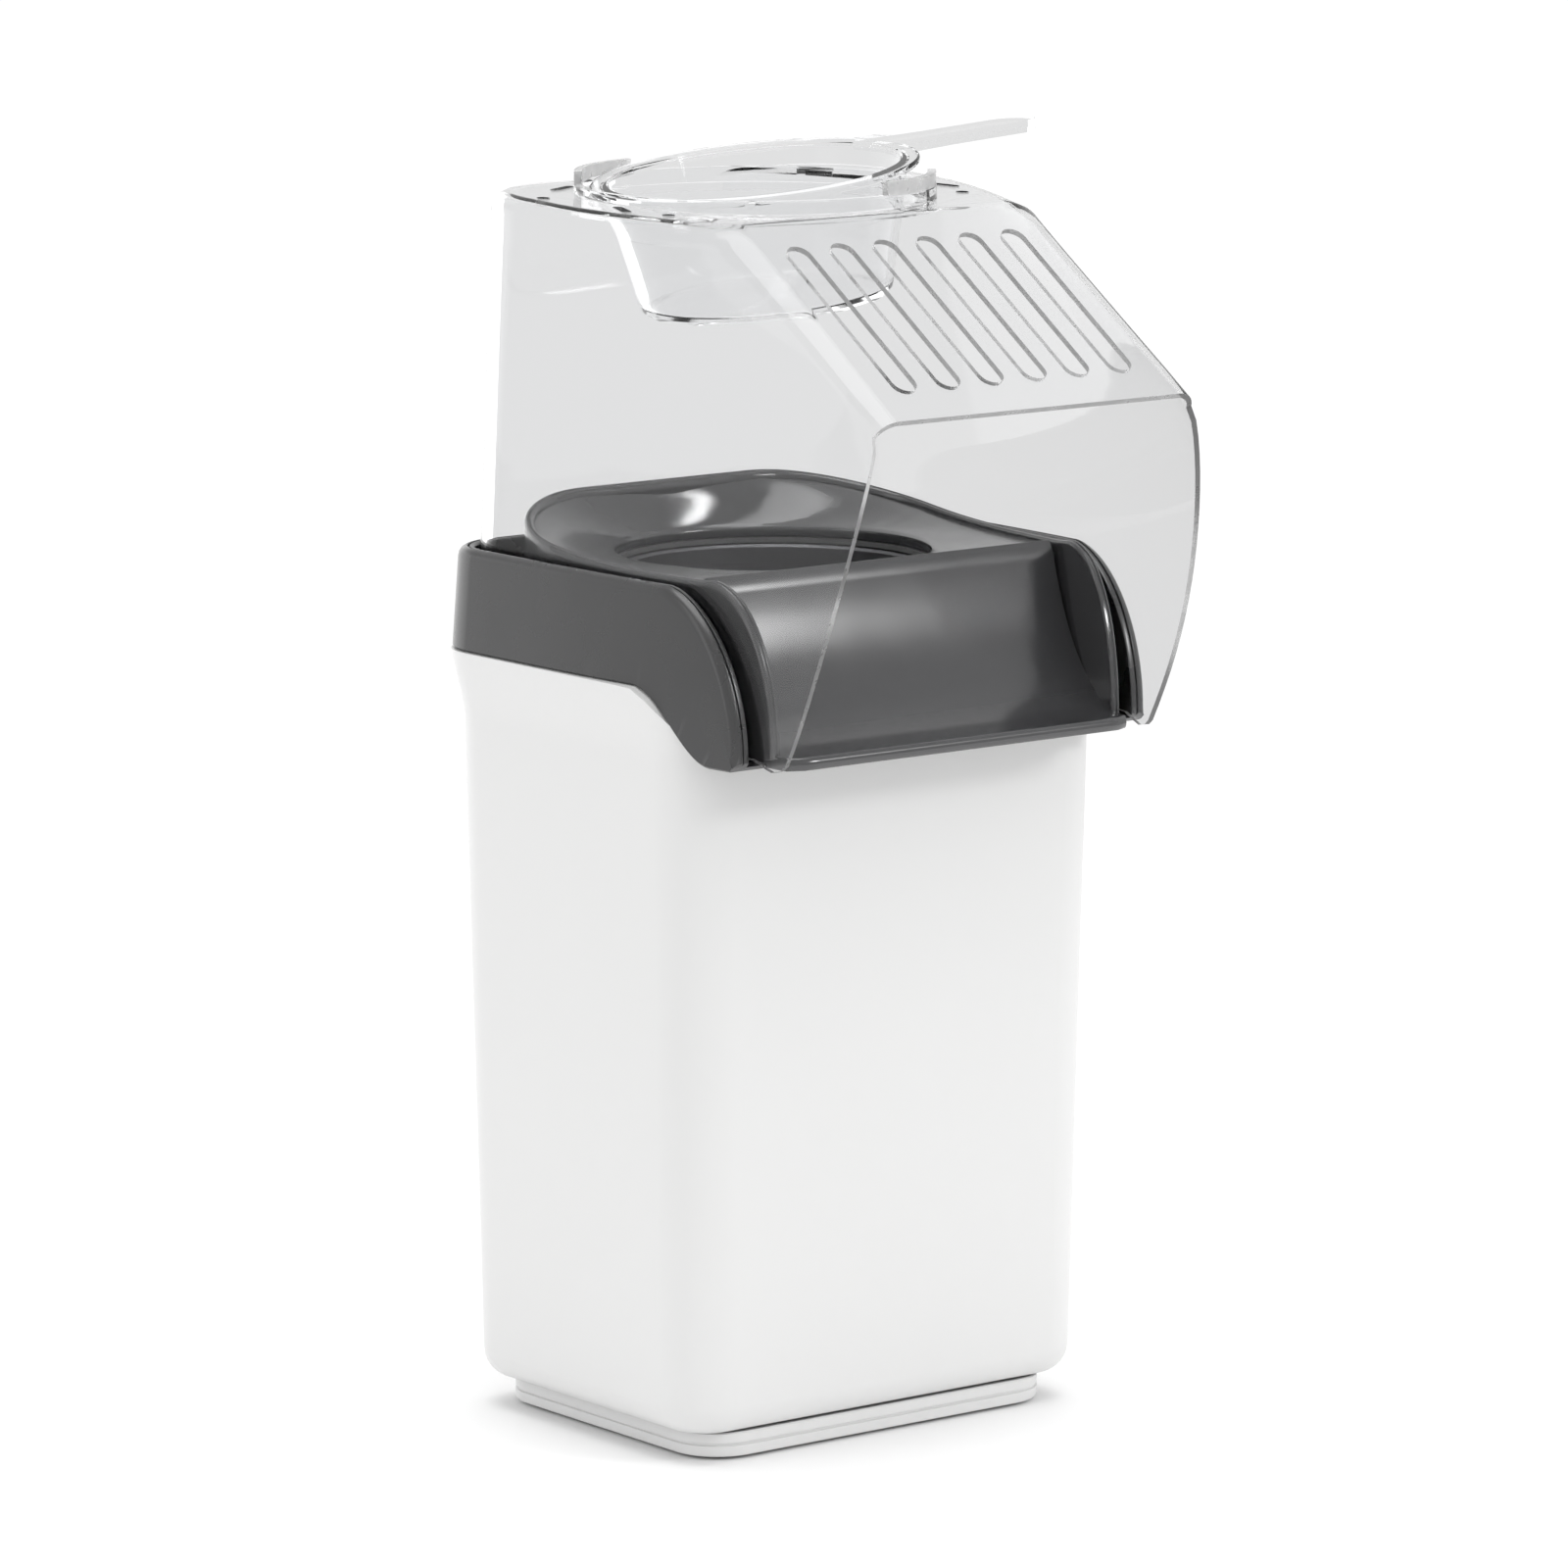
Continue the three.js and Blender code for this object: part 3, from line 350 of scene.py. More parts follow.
def painted_edge_light_shade(name, shade):
    """Painted grey for the cut edge of a clear wall: painted light and shade where the light that runs
    inside the sheet comes out.
    """
    light, dark = (shade,) * 3, (shade * 0.7,) * 3
    material, shader = finish(name, light, 0.3)
    shader.inputs["Transmission Weight"].default_value = 0.55
    shader.inputs["IOR"].default_value = CLEAR_BENDING
    scratches = grain(material, 300, 4)
    links = material.node_tree.links
    links.new(two_colours(material, scratches, light, dark), shader.inputs["Base Color"])
    links.new(between(material, scratches, 0.22, 0.42), shader.inputs["Roughness"])
    return material


# Painted grey on the hood's edges: mid grey is painted shade on the cut edges and slots, pale grey is
# painted light on the cup guards, near black is painted shade in the vents.
edge_painted_shade = painted_edge_light_shade("clear_edge_painted_shade", 0.42)
guard_painted_light = painted_edge_light_shade("clear_guard_painted_light", 0.93)
vent_painted_shade = painted_edge_light_shade("clear_vent_painted_shade", 0.04)
clear_hood = clear_plastic("clear_hood", (0.98, 0.982, 0.985), 0.25, 0.35)
HOOD_LOOKS = [clear_hood, edge_painted_shade, guard_painted_light, vent_painted_shade]
EDGE, GUARD, VENT = 1, 2, 3                              # their places in that list
clear_cup = clear_plastic("clear_cup", (0.96, 0.962, 0.965), 0.15, 0.12)
print("the hood's looks:", [look.name for look in HOOD_LOOKS])

# %% [markdown]
# Sheet metal carries the marks of the rolls: fine lines all one way. A noise stretched hard along
# one axis gives those lines, and drives both the roughness and a very shallow bump.


# %% Metals
def rolled_metal(name, light, dark, roughness, lines=(1, 1, 40)):
    material, shader = finish(name, light, roughness, 1.0)
    links = material.node_tree.links
    streaks = grain(material, 60, 6, lines)
    links.new(two_colours(material, streaks, light, dark), shader.inputs["Base Color"])
    links.new(between(material, streaks, roughness - 0.1, roughness + 0.14), shader.inputs["Roughness"])
    raise_surface(material, shader, streaks, 0.00002, 0.6)
    return material


# The aluminium gets a base far darker than bare metal: painted shade for the unlit inside of the chamber.
aluminium = rolled_metal("aluminium", (0.15, 0.15, 0.155), (0.11, 0.11, 0.115), 0.45)
steel = rolled_metal("steel", (0.52, 0.53, 0.54), (0.40, 0.41, 0.42), 0.3)
print("metals:", aluminium.name, steel.name)

# %% [markdown]
# Mica is a board pressed from flakes, so a cell pattern suits it. The circuit board is woven glass under
# brown lacquer, and a noise squeezed one way looks like its threads.

# %% Mica and circuit board
mica, mica_shader = finish("mica", (0.5, 0.4, 0.24), 0.5)
flakes = grain(mica, 220, kind="VORONOI")
mica.node_tree.links.new(
    two_colours(mica, flakes, (0.56, 0.46, 0.28), (0.36, 0.28, 0.15)), mica_shader.inputs["Base Color"])
mica.node_tree.links.new(between(mica, flakes, 0.3, 0.65, 0, 0.8), mica_shader.inputs["Roughness"])
raise_surface(mica, mica_shader, flakes, 0.00008, 0.6)
board, board_shader = finish("circuit_board", (0.38, 0.3, 0.12), 0.55)
weave = grain(board, 700, 2, (1, 1, 3))
board.node_tree.links.new(
    two_colours(board, weave, (0.42, 0.33, 0.14), (0.3, 0.23, 0.09)), board_shader.inputs["Base Color"])
raise_surface(board, board_shader, weave, 0.00005, 0.5)
print("finishes:", len(bpy.data.materials))

# %% [markdown]
# ## Building with rings and grids
# Nearly every part here is a wall that runs round a rounded rectangle. Such a wall is a grid: the
# same row of points at each station round the outline. Grids shade smoothly because all their faces
# have four corners. Boolean cuts come last, and only where a part has real holes.


# %% From points to a finished piece
def skin(name, points, faces):
    """A mesh object from points in the maker's millimetres. Doubled points are welded."""
    mesh = bpy.data.meshes.new(name)
    mesh.from_pydata([place(*p) for p in points], [], faces)
    shape = bmesh.new()
    shape.from_mesh(mesh)
    bmesh.ops.remove_doubles(shape, verts=shape.verts, dist=2e-6)
    bmesh.ops.recalc_face_normals(shape, faces=shape.faces)
    shape.to_mesh(mesh)
    shape.free()
    piece = bpy.data.objects.new(name, mesh)
    bpy.context.scene.collection.objects.link(piece)
    return piece


def grid_faces(rows, columns, close_rows=False, close_columns=False, start=0):
    faces = []
    for r in range(rows if close_rows else rows - 1):
        for c in range(columns if close_columns else columns - 1):
            r2, c2 = (r + 1) % rows, (c + 1) % columns
            faces.append((start + r * columns + c, start + r * columns + c2,
                          start + r2 * columns + c2, start + r2 * columns + c))
    return faces


def prism_faces(n):
    """Faces of a prism whose points are its lower outline, then its upper one, n points each."""
    return grid_faces(2, n, close_columns=True) + [tuple(range(n)), tuple(range(n, 2 * n))]


print("a cube has", len(prism_faces(4)), "faces")

# %% [markdown]
# Openings and joined parts are made with Boolean modifiers. They are applied at once, so that the next
# step works on real mesh and the tools can be thrown away.


# %% Cutting and joining
def settle(piece):
    """Turns a piece's modifiers into plain mesh."""
    bpy.context.view_layer.update()
    solid = bpy.data.meshes.new_from_object(piece.evaluated_get(bpy.context.evaluated_depsgraph_get()))
    piece.modifiers.clear()
    piece.data = solid
    return piece


def combine(piece, tools, how, solver="EXACT"):
    """Cuts the tools out of a piece, or joins them to it."""
    for tool in tools:
        change = piece.modifiers.new("combine", "BOOLEAN")
        change.operation = how
        change.object = tool
        change.solver = solver
    settle(piece)
    for tool in tools:
        bpy.data.objects.remove(tool)
    return piece


print("cutting and joining ready")

# %% [markdown]
# A mould never leaves a knife edge, so a small round goes on every sharp one. Then the piece is shaded,
# gets its finish, and is hung on the body that carries it, in place of its mechanical nodes.


# %% Rounding and presenting
def soften_edges(piece, width, angle=40, segments=3):
    """A small round on every edge sharper than angle, as the mould has."""
    bevel = piece.modifiers.new("edge_round", "BEVEL")
    bevel.width = width * MM
    bevel.segments = segments
    bevel.limit_method = "ANGLE"
    bevel.angle_limit = math.radians(angle)
    bevel.miter_outer = "MITER_ARC"
    return piece


def present(piece, look, body, nodes=(), smooth=32):
    """Shades a piece, gives it its finish and hangs it on its body in place of its nodes."""
    settle(piece)
    piece.data.shade_smooth()
    piece.data.set_sharp_from_angle(angle=math.radians(smooth))
    even = piece.modifiers.new("even_shading", "WEIGHTED_NORMAL")
    even.keep_sharp = True
    if len(piece.data.materials) < 2:
        piece.data.materials.clear()
        piece.data.materials.append(look)
    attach(piece, body)
    if nodes:
        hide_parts(*nodes)
    print(f"{piece.name}: {len(piece.data.polygons)} faces")
    return piece


print("mesh helpers ready")

# %% [markdown]
# Most shapes here are designed in side view, as a mould maker would draw them. A Bezier curve needs only
# three or four points for a smooth line, and `walk` then places stations along it by length.


# %% Curves in side view
def bend(points, steps):
    """A Bezier curve through its first and last point, as [y, z] points."""
    made = []
    for i in range(steps + 1):
        t = i / steps
        row = [Vector(p) for p in points]
        while len(row) > 1:
            row = [row[k].lerp(row[k + 1], t) for k in range(len(row) - 1)]
        made.append(tuple(row[0]))
    return made


def walk(line, shares):
    """Points at the given shares of a line's length."""
    lengths = [0.0]
    for a, b in zip(line, line[1:]):
        lengths.append(lengths[-1] + (Vector(b) - Vector(a)).length)
    made = []
    for share in shares:
        goal = share * lengths[-1]
        k = next((i for i in range(1, len(line)) if lengths[i] >= goal - 1e-9), len(line) - 1)
        step = lengths[k] - lengths[k - 1]
        t = (goal - lengths[k - 1]) / step if step else 0
        made.append(tuple(Vector(line[k - 1]).lerp(Vector(line[k]), t)))
    return made


def spread(count, power=1.0):
    """Shares from 0 to 1, closer together at the start for a power above 1."""
    return [(i / count) ** power for i in range(count + 1)]


print("a quarter of the way:", walk([(0, 0), (8, 0)], [0.25]))

# %% [markdown]
# ## The housing
# The housing is a tall rounded box that widens slowly toward the top and flares at the rim, where
# the collar sits. It could start as a cube with a bevel, but the flare and the S-shaped step of its
# top edge would need sculpting. Rings of points placed by formula give both exactly.

# %% Housing outline
RIM_Z, FLARE_Z, ARM_Z = 179.8, 164.5, 163.9
SHELL_BOTTOM_Z = 6.6


def rounded_outline(a, b, r, corner_steps=12, side_steps=6):
    """Rounded rectangle, anticlockwise from +X, with extra points along its straight sides."""
    points = []
    corners = [(1, 1, 0), (-1, 1, 90), (-1, -1, 180), (1, -1, 270)]
    for sx, sy, start in corners:
        arc = []
        for i in range(corner_steps + 1):
            angle = math.radians(start + 90 * i / corner_steps)
            arc.append((sx * (a - r) + r * math.cos(angle), sy * (b - r) + r * math.sin(angle)))
        points.append(arc)
    outline = []
    for k, arc in enumerate(points):
        outline += arc
        ahead = points[(k + 1) % 4][0]
        for i in range(1, side_steps):
            t = i / side_steps
            outline.append((lerp(arc[-1][0], ahead[0], t), lerp(arc[-1][1], ahead[1], t)))
    return outline


def housing_outline(z, inset=0.0, **steps):
    share = max(0, min(1, (z - SHELL_BOTTOM_Z) / (FLARE_Z - SHELL_BOTTOM_Z)))
    rise = max(0, min(1, (z - FLARE_Z) / (RIM_Z - FLARE_Z)))
    out = 3 * (0.5 * rise + 0.5 * ease(rise)) - inset
    return rounded_outline(lerp(58.5, 61.5, share) + out, lerp(45, 47.8, share) + out,
                           lerp(13, 13.5, share) + out, **steps)


STEP_LINE = bend([(-28, RIM_Z), (-37, RIM_Z), (-45, ARM_Z), (-54, ARM_Z)], 40)


def step_height(y, drop=0.3):
    """Height of the S-shaped step at depth y, less the seam under the collar."""
    if y >= STEP_LINE[0][0]:
        return RIM_Z - drop
    for (y1, z1), (y2, z2) in zip(STEP_LINE, STEP_LINE[1:]):
        if y2 <= y <= y1:
            return lerp(z1, z2, (y - y1) / (y2 - y1)) - drop
    return ARM_Z - drop


print("housing is", 2 * 58.5, "mm wide at its foot")

# %% [markdown]
# The rings start with the tuck at the foot, then climb to the step line. Each point's height is a share
# of its own column, so the top edge follows the S-shaped step and no cut is needed. Solidify gives the
# wall its 2.5 mm.

# %% Housing skin
WALL, FLARE_ROWS = 2.5, 12
SIDE_STEPS = 14
tops = [step_height(y) for x, y in housing_outline(170, side_steps=SIDE_STEPS)]
tuck = [(6.8, 4.6), (7.3, 3.3), (8.0, 2.3), (9.0, 1.35), (10.2, 0.65), (11.6, 0.2), (13.2, 0)]
climb = [0.06, 0.16, 0.3, 0.45, 0.6, 0.74, 0.84, 0.89]
climb += [0.905 + 0.095 * i / FLARE_ROWS for i in range(FLARE_ROWS + 1)]
housing_points, housing_rows = [], 0
for z, inset in tuck:
    housing_points += [(x, y, z) for x, y in housing_outline(z, inset, side_steps=SIDE_STEPS)]
    housing_rows += 1
for share in climb:
    heights = [lerp(13.2, top, share) for top in tops]
    for i, z in enumerate(heights):
        x, y = housing_outline(z, side_steps=SIDE_STEPS)[i]
        housing_points.append((x, y, z))
    housing_rows += 1
housing = skin("housing_shell_skin", housing_points,
               grid_faces(housing_rows, len(tops), close_columns=True))
wall = housing.modifiers.new("wall", "SOLIDIFY")
wall.thickness = WALL * MM
wall.offset = -1
settle(housing)
print("housing rows:", housing_rows)

# %% [markdown]
# The back of the housing has a window for the power switch and a hole for the cord's gland. A real
# mould has steel inserts there. Here two plain tools are cut out with a Boolean, which is the quick
# and exact way to make an opening in a nearly flat wall.


# %% Tools for cutting
def block(width, depth, height, x, y, z):
    w, d, h = width / 2, depth / 2, height / 2
    points = [(x + sx * w, y + sy * d, z + sz * h) for sz in (-1, 1) for sx, sy in
              ((-1, -1), (1, -1), (1, 1), (-1, 1))]
    return skin("tool", points, prism_faces(4))


def turned(name, profile, x, y, sides=96, axis="Z", z=0.0):
    """A turned piece from [radius, height] points. Points on the axis become one point each."""
    points = []
    for i in range(sides):
        angle = 2 * math.pi * i / sides
        c, s = math.cos(angle), math.sin(angle)
        for radius, height in profile:
            if axis == "Z":
                points.append((x + radius * c, y + radius * s, height + z))
            else:
                points.append((x + radius * c, y + height, z + radius * s))
    closed = profile[0] == profile[-1] or (profile[0][0] > 0)
    faces = grid_faces(sides, len(profile), close_rows=True, close_columns=closed)
    return skin(name, points, faces)


print("cutting tools ready")

# %% [markdown]
# The window is a little larger than the switch's body, and the bore fits the gland. Both sit where the
# mechanical model has them. The edges are softened after the cut, so the openings get the round as well.

# %% Openings in the back of the housing
SWITCH_X, SWITCH_Z, GLAND_X, GLAND_Z, BACK_Y = -18, 24, 20, 20, 45
window = block(13.8, 16, 19.8, SWITCH_X, BACK_Y, SWITCH_Z)
bore = turned("tool", [(0, -8), (4.5, -8), (4.5, 8), (0, 8)], GLAND_X, BACK_Y, 48, "Y", GLAND_Z)
combine(housing, [window, bore], "DIFFERENCE")
soften_edges(housing, 0.5, 50, 2)
present(housing, white_plastic, "base", ["housing_shell"])

# %% [markdown]
# ## The base
# Under the housing sits an inset ring with a floor plate. Its slots let the fan draw air. The plate
# stands on four rubber feet, and four screws hold it. Only the ring shows from the front, but the
# machine will be picked up and turned over, so the underside is finished too.

# %% Base ring and floor plate
COVER_A, COVER_B, COVER_R, PLATE_Z = 51.8, 41.3, 12, 5.0
ring_profile = [(2.6, 6.3), (2.6, 0.8), (2.3, 0.5), (0.9, 0.5), (0.35, 0.7), (0.05, 1.2), (0, 3.1),
                (0.5, 3.3), (0.5, 3.7), (0, 3.9), (0, 6.0), (0.3, 6.3)]
cover_points = []
for inset, z in ring_profile:
    outline = rounded_outline(COVER_A - inset, COVER_B - inset, COVER_R - inset, 12, 4)
    cover_points += [(x, y, z) for x, y in outline]
count = len(outline)
cover = skin("base_cover_skin", cover_points,
             grid_faces(len(ring_profile), count, close_rows=True, close_columns=True))
plate_outline = rounded_outline(COVER_A - 2, COVER_B - 2, COVER_R - 2, 12, 4)
plate_points = [(x, y, z) for z in (PLATE_Z, PLATE_Z + 1.3) for x, y in plate_outline]
plate = skin("plate", plate_points, prism_faces(count))
slots = []
for i in range(-4, 5):
    slots.append(block(3, 52 if abs(i) < 3 else 24, 8, i * 6.5, 0, PLATE_Z))
combine(plate, slots, "DIFFERENCE")
soften_edges(plate, 0.3, 50, 2)
settle(plate)
with bpy.context.temp_override(active_object=cover, selected_editable_objects=[cover, plate]):
    bpy.ops.object.join()
present(cover, white_plastic, "base", ["base_cover"])

# %% [markdown]
# A foot is a button of rubber with a stem that is pulled through the plate, and a screw has a cross
# recess. Both are turned shapes: a short profile, spun round. The recess is cut from the turned head.

# %% Rubber feet and screws
FOOT_PROFILE = [(0, 0.0), (4.1, 0.0), (4.5, 0.15), (4.7, 0.5), (5.0, 2.1), (4.8, 2.5), (1.8, 2.5),
                (1.8, 6.4), (0, 6.4)]
CORNERS = [(-1, -1), (1, -1), (1, 1), (-1, 1)]
for number, (sx, sy) in enumerate(CORNERS, 1):
    foot = turned(f"foot_{number}_skin", FOOT_PROFILE, sx * 42, sy * 30, 40)
    present(foot, rubber, "base", [f"foot_{number}"])
SCREW_PROFILE = [(0, 2.9), (2.2, 2.9), (2.75, 3.1), (3.0, 3.7), (3.0, 4.7), (1.4, 4.7), (1.4, 14), (0, 15)]
for number, (sx, sy) in enumerate(CORNERS, 1):
    screw = turned(f"base_screw_{number}_skin", SCREW_PROFILE, sx * 30, sy * 35, 32)
    cross = [block(4, 0.8, 2, sx * 30, sy * 35, 2.9), block(0.8, 4, 2, sx * 30, sy * 35, 2.9)]
    combine(screw, cross, "DIFFERENCE")
    present(screw, steel, "base", [f"base_screw_{number}"])

# %% [markdown]
# ## Walls that follow a tapered plan
# Collar, chute and hood share one plan: round corners at the back, and sides that draw in toward the
# front. A wall is a run of stations from its right front end, round the back, to its left front end.
# At each station a lower and an upper point are known. A cross-section is then laid between them.


# %% A tapered plan
class Plan:
    """Half-width a, depth b to the back, corner radius r. The sides draw in to front at front_y."""

    def __init__(self, a, b, r, front, front_y, power=2.0, inset=0.0):
        self.a, self.b, self.r = a, b, r
        self.front, self.front_y, self.power, self.inset = front, front_y, power, inset

    def side(self, y):
        along = max(0.0, 10 - y) / (10 - self.front_y)
        width = self.a - (self.a - self.front) * along ** self.power
        return max(width, self.front - 8) - self.inset

    def corner(self, angle):
        r = self.r - self.inset
        return self.a - self.r + r * math.cos(angle), self.b - self.r + r * math.sin(angle)

    def smaller(self, inset):
        return Plan(self.a, self.b, self.r, self.front, self.front_y, self.power, self.inset + inset)


print("half-width of a tapered plan:", Plan(60, 50, 15, 50, -60).side(-25))

# %% [markdown]
# A station is a place on the run with its lower and upper point. A closed cross-section is laid at every
# station and the sections are joined. That keeps the same rows of faces from one arm to the other, which
# a cut or an extruded outline wouldn't.


# %% Stations round a wall
def stations(side_lows, side_highs, low_at, high_at, corner_start, corner_steps=12, back_steps=16):
    """A list of (kind, where, low, high, mirrored). Side points are [y, z], front to back."""
    right = [("side", None, low, high, 1) for low, high in zip(side_lows, side_highs)]
    start_y = side_lows[-1][0]
    for i in range(1, 6):
        y = lerp(start_y, corner_start, i / 6)
        right.append(("side", None, (y, low_at(y)), (y, high_at(y)), 1))
    for i in range(corner_steps + 1):
        right.append(("corner", math.radians(90 * i / corner_steps), low_at, high_at, 1))
    back = [("back", 1 - 2 * i / back_steps, low_at, high_at, 1) for i in range(1, back_steps)]
    left = [(kind, where, low, high, -1) for kind, where, low, high, _ in reversed(right)]
    return right + back + left


def wall_point(plan_at, station, share, rise=0.0):
    """The point at a share of the station's height, moved on by rise millimetres."""
    kind, where, low, high, hand = station
    if kind == "side":
        line = Vector(high) - Vector(low)
        limit = 0.45 * line.length
        step = line.normalized() * max(-limit, min(limit, rise)) if line.length > 1e-6 else Vector((0, 0))
        y, z = Vector(low) + line * share + step
        return hand * plan_at(z).side(y), y, z
    for tries in range(2):
        y = 40.0 if tries == 0 else y
        z = lerp(low(y), high(y), share) + rise
        plan = plan_at(z)
        if kind == "corner":
            x, y = plan.corner(where)
        else:
            x, y = (plan.a - plan.r) * where, plan.b - plan.inset
    return hand * x if kind == "corner" else x, y, z


def solid_wall(name, run, outer_at, inner_at, profile):
    """profile: (share of height, rise, share of thickness) round the closed cross-section."""
    points = []
    for station in run:
        for share, rise, depth in profile:
            outer = Vector(wall_point(outer_at, station, share, rise))
            inner = Vector(wall_point(inner_at, station, share, rise))
            points.append(tuple(outer.lerp(inner, depth)))
    n = len(profile)
    faces = grid_faces(len(run), n, close_columns=True)
    faces += [tuple(range(n)), tuple(range((len(run) - 1) * n, len(run) * n))]
    return skin(name, points, faces)


print("wall builder ready")

# %% [markdown]
# ## The collar
# The dark collar wraps the housing's rim and runs out into two arms that carry the chute. Its top
# rim is rolled, with a fine groove along it. The section is an L: an upright wall, and a thin sole that
# reaches inward to the chute. Its points are given by share of height, a step along it, and depth.

# %% Collar
COLLAR_Z = 203.4


def collar_plan(z):
    share = max(0.0, min(1.0, (z - RIM_Z) / (COLLAR_Z - RIM_Z)))
    return Plan(64.2 - 1.4 * share, 50.3 - 0.8 * share, 16, 60, -62.5)


def groove_plan(z):
    return Plan(59.5, 46.2, 14, 55.7, -62.5)


ARM_STATIONS = 34
arm_low = [(-60.5, ARM_Z)] + list(reversed(STEP_LINE)) + [(-20, RIM_Z)]
arm_curve = bend([(-38, COLLAR_Z), (-50, 201.2), (-62.5, 186.4), (-62.5, 165.9)], 40)
arm_high = list(reversed(arm_curve)) + [(-20, COLLAR_Z)]
shares = spread(ARM_STATIONS)
lows, highs = walk(arm_low, shares), walk(arm_high, shares)
collar_run = stations(lows, highs, lambda y: RIM_Z, lambda y: COLLAR_Z, 34)
collar_section = [
    (0, 0.5, 0.0), (0.3, 0, 0.0), (0.6, 0, 0.0), (1, -2.4, 0.0), (1, -1.3, 0.05), (1, -0.6, 0.17),
    (1, -0.15, 0.36), (1, 0, 0.5), (1, -0.1, 0.55), (1, -0.7, 0.58), (1, -0.7, 0.64), (1, -0.1, 0.67),
    (1, -0.1, 0.86), (1, -0.35, 0.96), (1, -0.8, 1.0), (1, -1.8, 1.0), (0.5, 0, 1.0), (0, 1.6, 1.0),
    (0, 1.6, 2.38), (0, 0, 2.38), (0, 0, 0.12)]
collar = solid_wall("collar_skin", collar_run, collar_plan, groove_plan, collar_section)
soften_edges(collar, 0.4, 50, 2)
present(collar, dark_plastic, "base", ["collar"], 40)

# %% [markdown]
# ## The chute
# Popcorn rises out of the chamber, spreads over a dished funnel and slides down a concave ramp to the
# lip. The funnel blends a rounded rectangle into the round hole, ring by ring. The ramp is one curve
# in side view, swept across, and two cheeks close its sides.

# %% Chute walls and cheeks
RIDGE_Y, RIDGE_Z, LIP_Y, LIP_Z = -40.0, 204.2, -69.7, 166.5
CHEEK_WALL = 2.4


def liner_plan(z):
    return Plan(56.2, 43, 32, 50.4, -64)


def rim_height(y):
    return RIDGE_Z + 10 * max(0.0, (y - RIDGE_Y) / 83) ** 3


cheek_high = list(reversed(bend([(-45, 204.6), (-56, 203.6), (-64.3, 188), (-64.3, 166.4)], 40)))
cheek_high += [(RIDGE_Y, RIDGE_Z), (-30, rim_height(-30)), (-20, rim_height(-20))]
cheek_low = [(-62.6, ARM_Z + 2.1)] + [(y, z + 2.1) for y, z in reversed(STEP_LINE)] + [(-20, RIM_Z + 2.1)]
cheek_run = stations(walk(cheek_low, shares), walk(cheek_high, shares),
                     lambda y: RIM_Z + 2.1, rim_height, 11, 18)
cheek_section = [
    (0, 0, 0), (0.5, 0, 0), (1, -1.8, 0), (1, -0.7, 0), (1, -0.2, 0.12), (1, 0, 0.3), (1, -0.5, 0.38),
    (1, -0.5, 0.5), (1, 0, 0.58), (1, -0.12, 0.85), (1, -0.6, 1), (1, -1.6, 1), (0.5, 0, 1), (0, 0, 1)]
cheeks = solid_wall("chute_cheeks_skin", cheek_run, liner_plan,
                    lambda z: liner_plan(z).smaller(CHEEK_WALL), cheek_section)
soften_edges(cheeks, 0.3, 50, 2)
print("cheeks:", len(cheek_run), "stations")

# %% [markdown]
# The funnel goes from a rim that is square in front and round at the back to the chamber's round mouth.
# Each ring lies a share of the way in and a share of the way down. The first rings turn over slowly, so
# that the rim is rounded. Then the wall steepens, and it ends in a short straight throat.

# %% Funnel
HOLE_R, AXIS_Y, THROAT_Z = 36.6, 1.0, 202.4
CORNER_STEPS, SIDE_POINTS = 14, 10
half = 2 * (CORNER_STEPS + SIDE_POINTS)            # points in the back half of the outline
round_rim = rounded_outline(55, 41.4, 30.5, CORNER_STEPS, SIDE_POINTS)
square_rim = rounded_outline(55, 41.4, 17, CORNER_STEPS, SIDE_POINTS)
funnel_rim = round_rim[:half] + square_rim[half:]
funnel_rim = [(x, max(y, RIDGE_Y)) for x, y in funnel_rim]
funnel_levels = [(0.0, 0.0), (0.05, 0.02), (0.2, 0.12), (0.4, 0.36), (0.6, 0.62), (0.8, 0.85),
                 (0.92, 0.96), (0.98, 0.995)]
funnel_points = []
for inward, fall in funnel_levels:
    for x, y in funnel_rim:
        angle = math.atan2(y - AXIS_Y, x)
        throat = HOLE_R + 0.8
        hole_x, hole_y = throat * math.cos(angle), AXIS_Y + throat * math.sin(angle)
        top, bottom = rim_height(y) - 1.2, THROAT_Z
        funnel_points.append((lerp(x, hole_x, inward), lerp(y, hole_y, inward), lerp(top, bottom, fall)))
throat_rings = [(HOLE_R + 0.2, 202.0), (HOLE_R, 201.4), (HOLE_R, 199.8), (HOLE_R + 2, 199.8)]
for radius, z in throat_rings:
    for x, y in funnel_rim:
        angle = math.atan2(y - AXIS_Y, x)
        funnel_points.append((radius * math.cos(angle), AXIS_Y + radius * math.sin(angle), z))
for x, y in funnel_rim:
    funnel_points.append((x, y, rim_height(y) - 3.4))
funnel_rings = len(funnel_levels) + len(throat_rings) + 1
funnel = skin("funnel", funnel_points, grid_faces(funnel_rings, len(funnel_rim), True, True))
print("funnel rings:", funnel_rings)

# %% [markdown]
# The ramp falls from the ridge to the lip in one hollow curve, and the lip has a small raised bead along
# its edge. The closed side view is swept from cheek to cheek. Near the corners the lip is drawn back a
# little, so that its ends are round. Cheeks, funnel and ramp are one moulding, so they are joined.

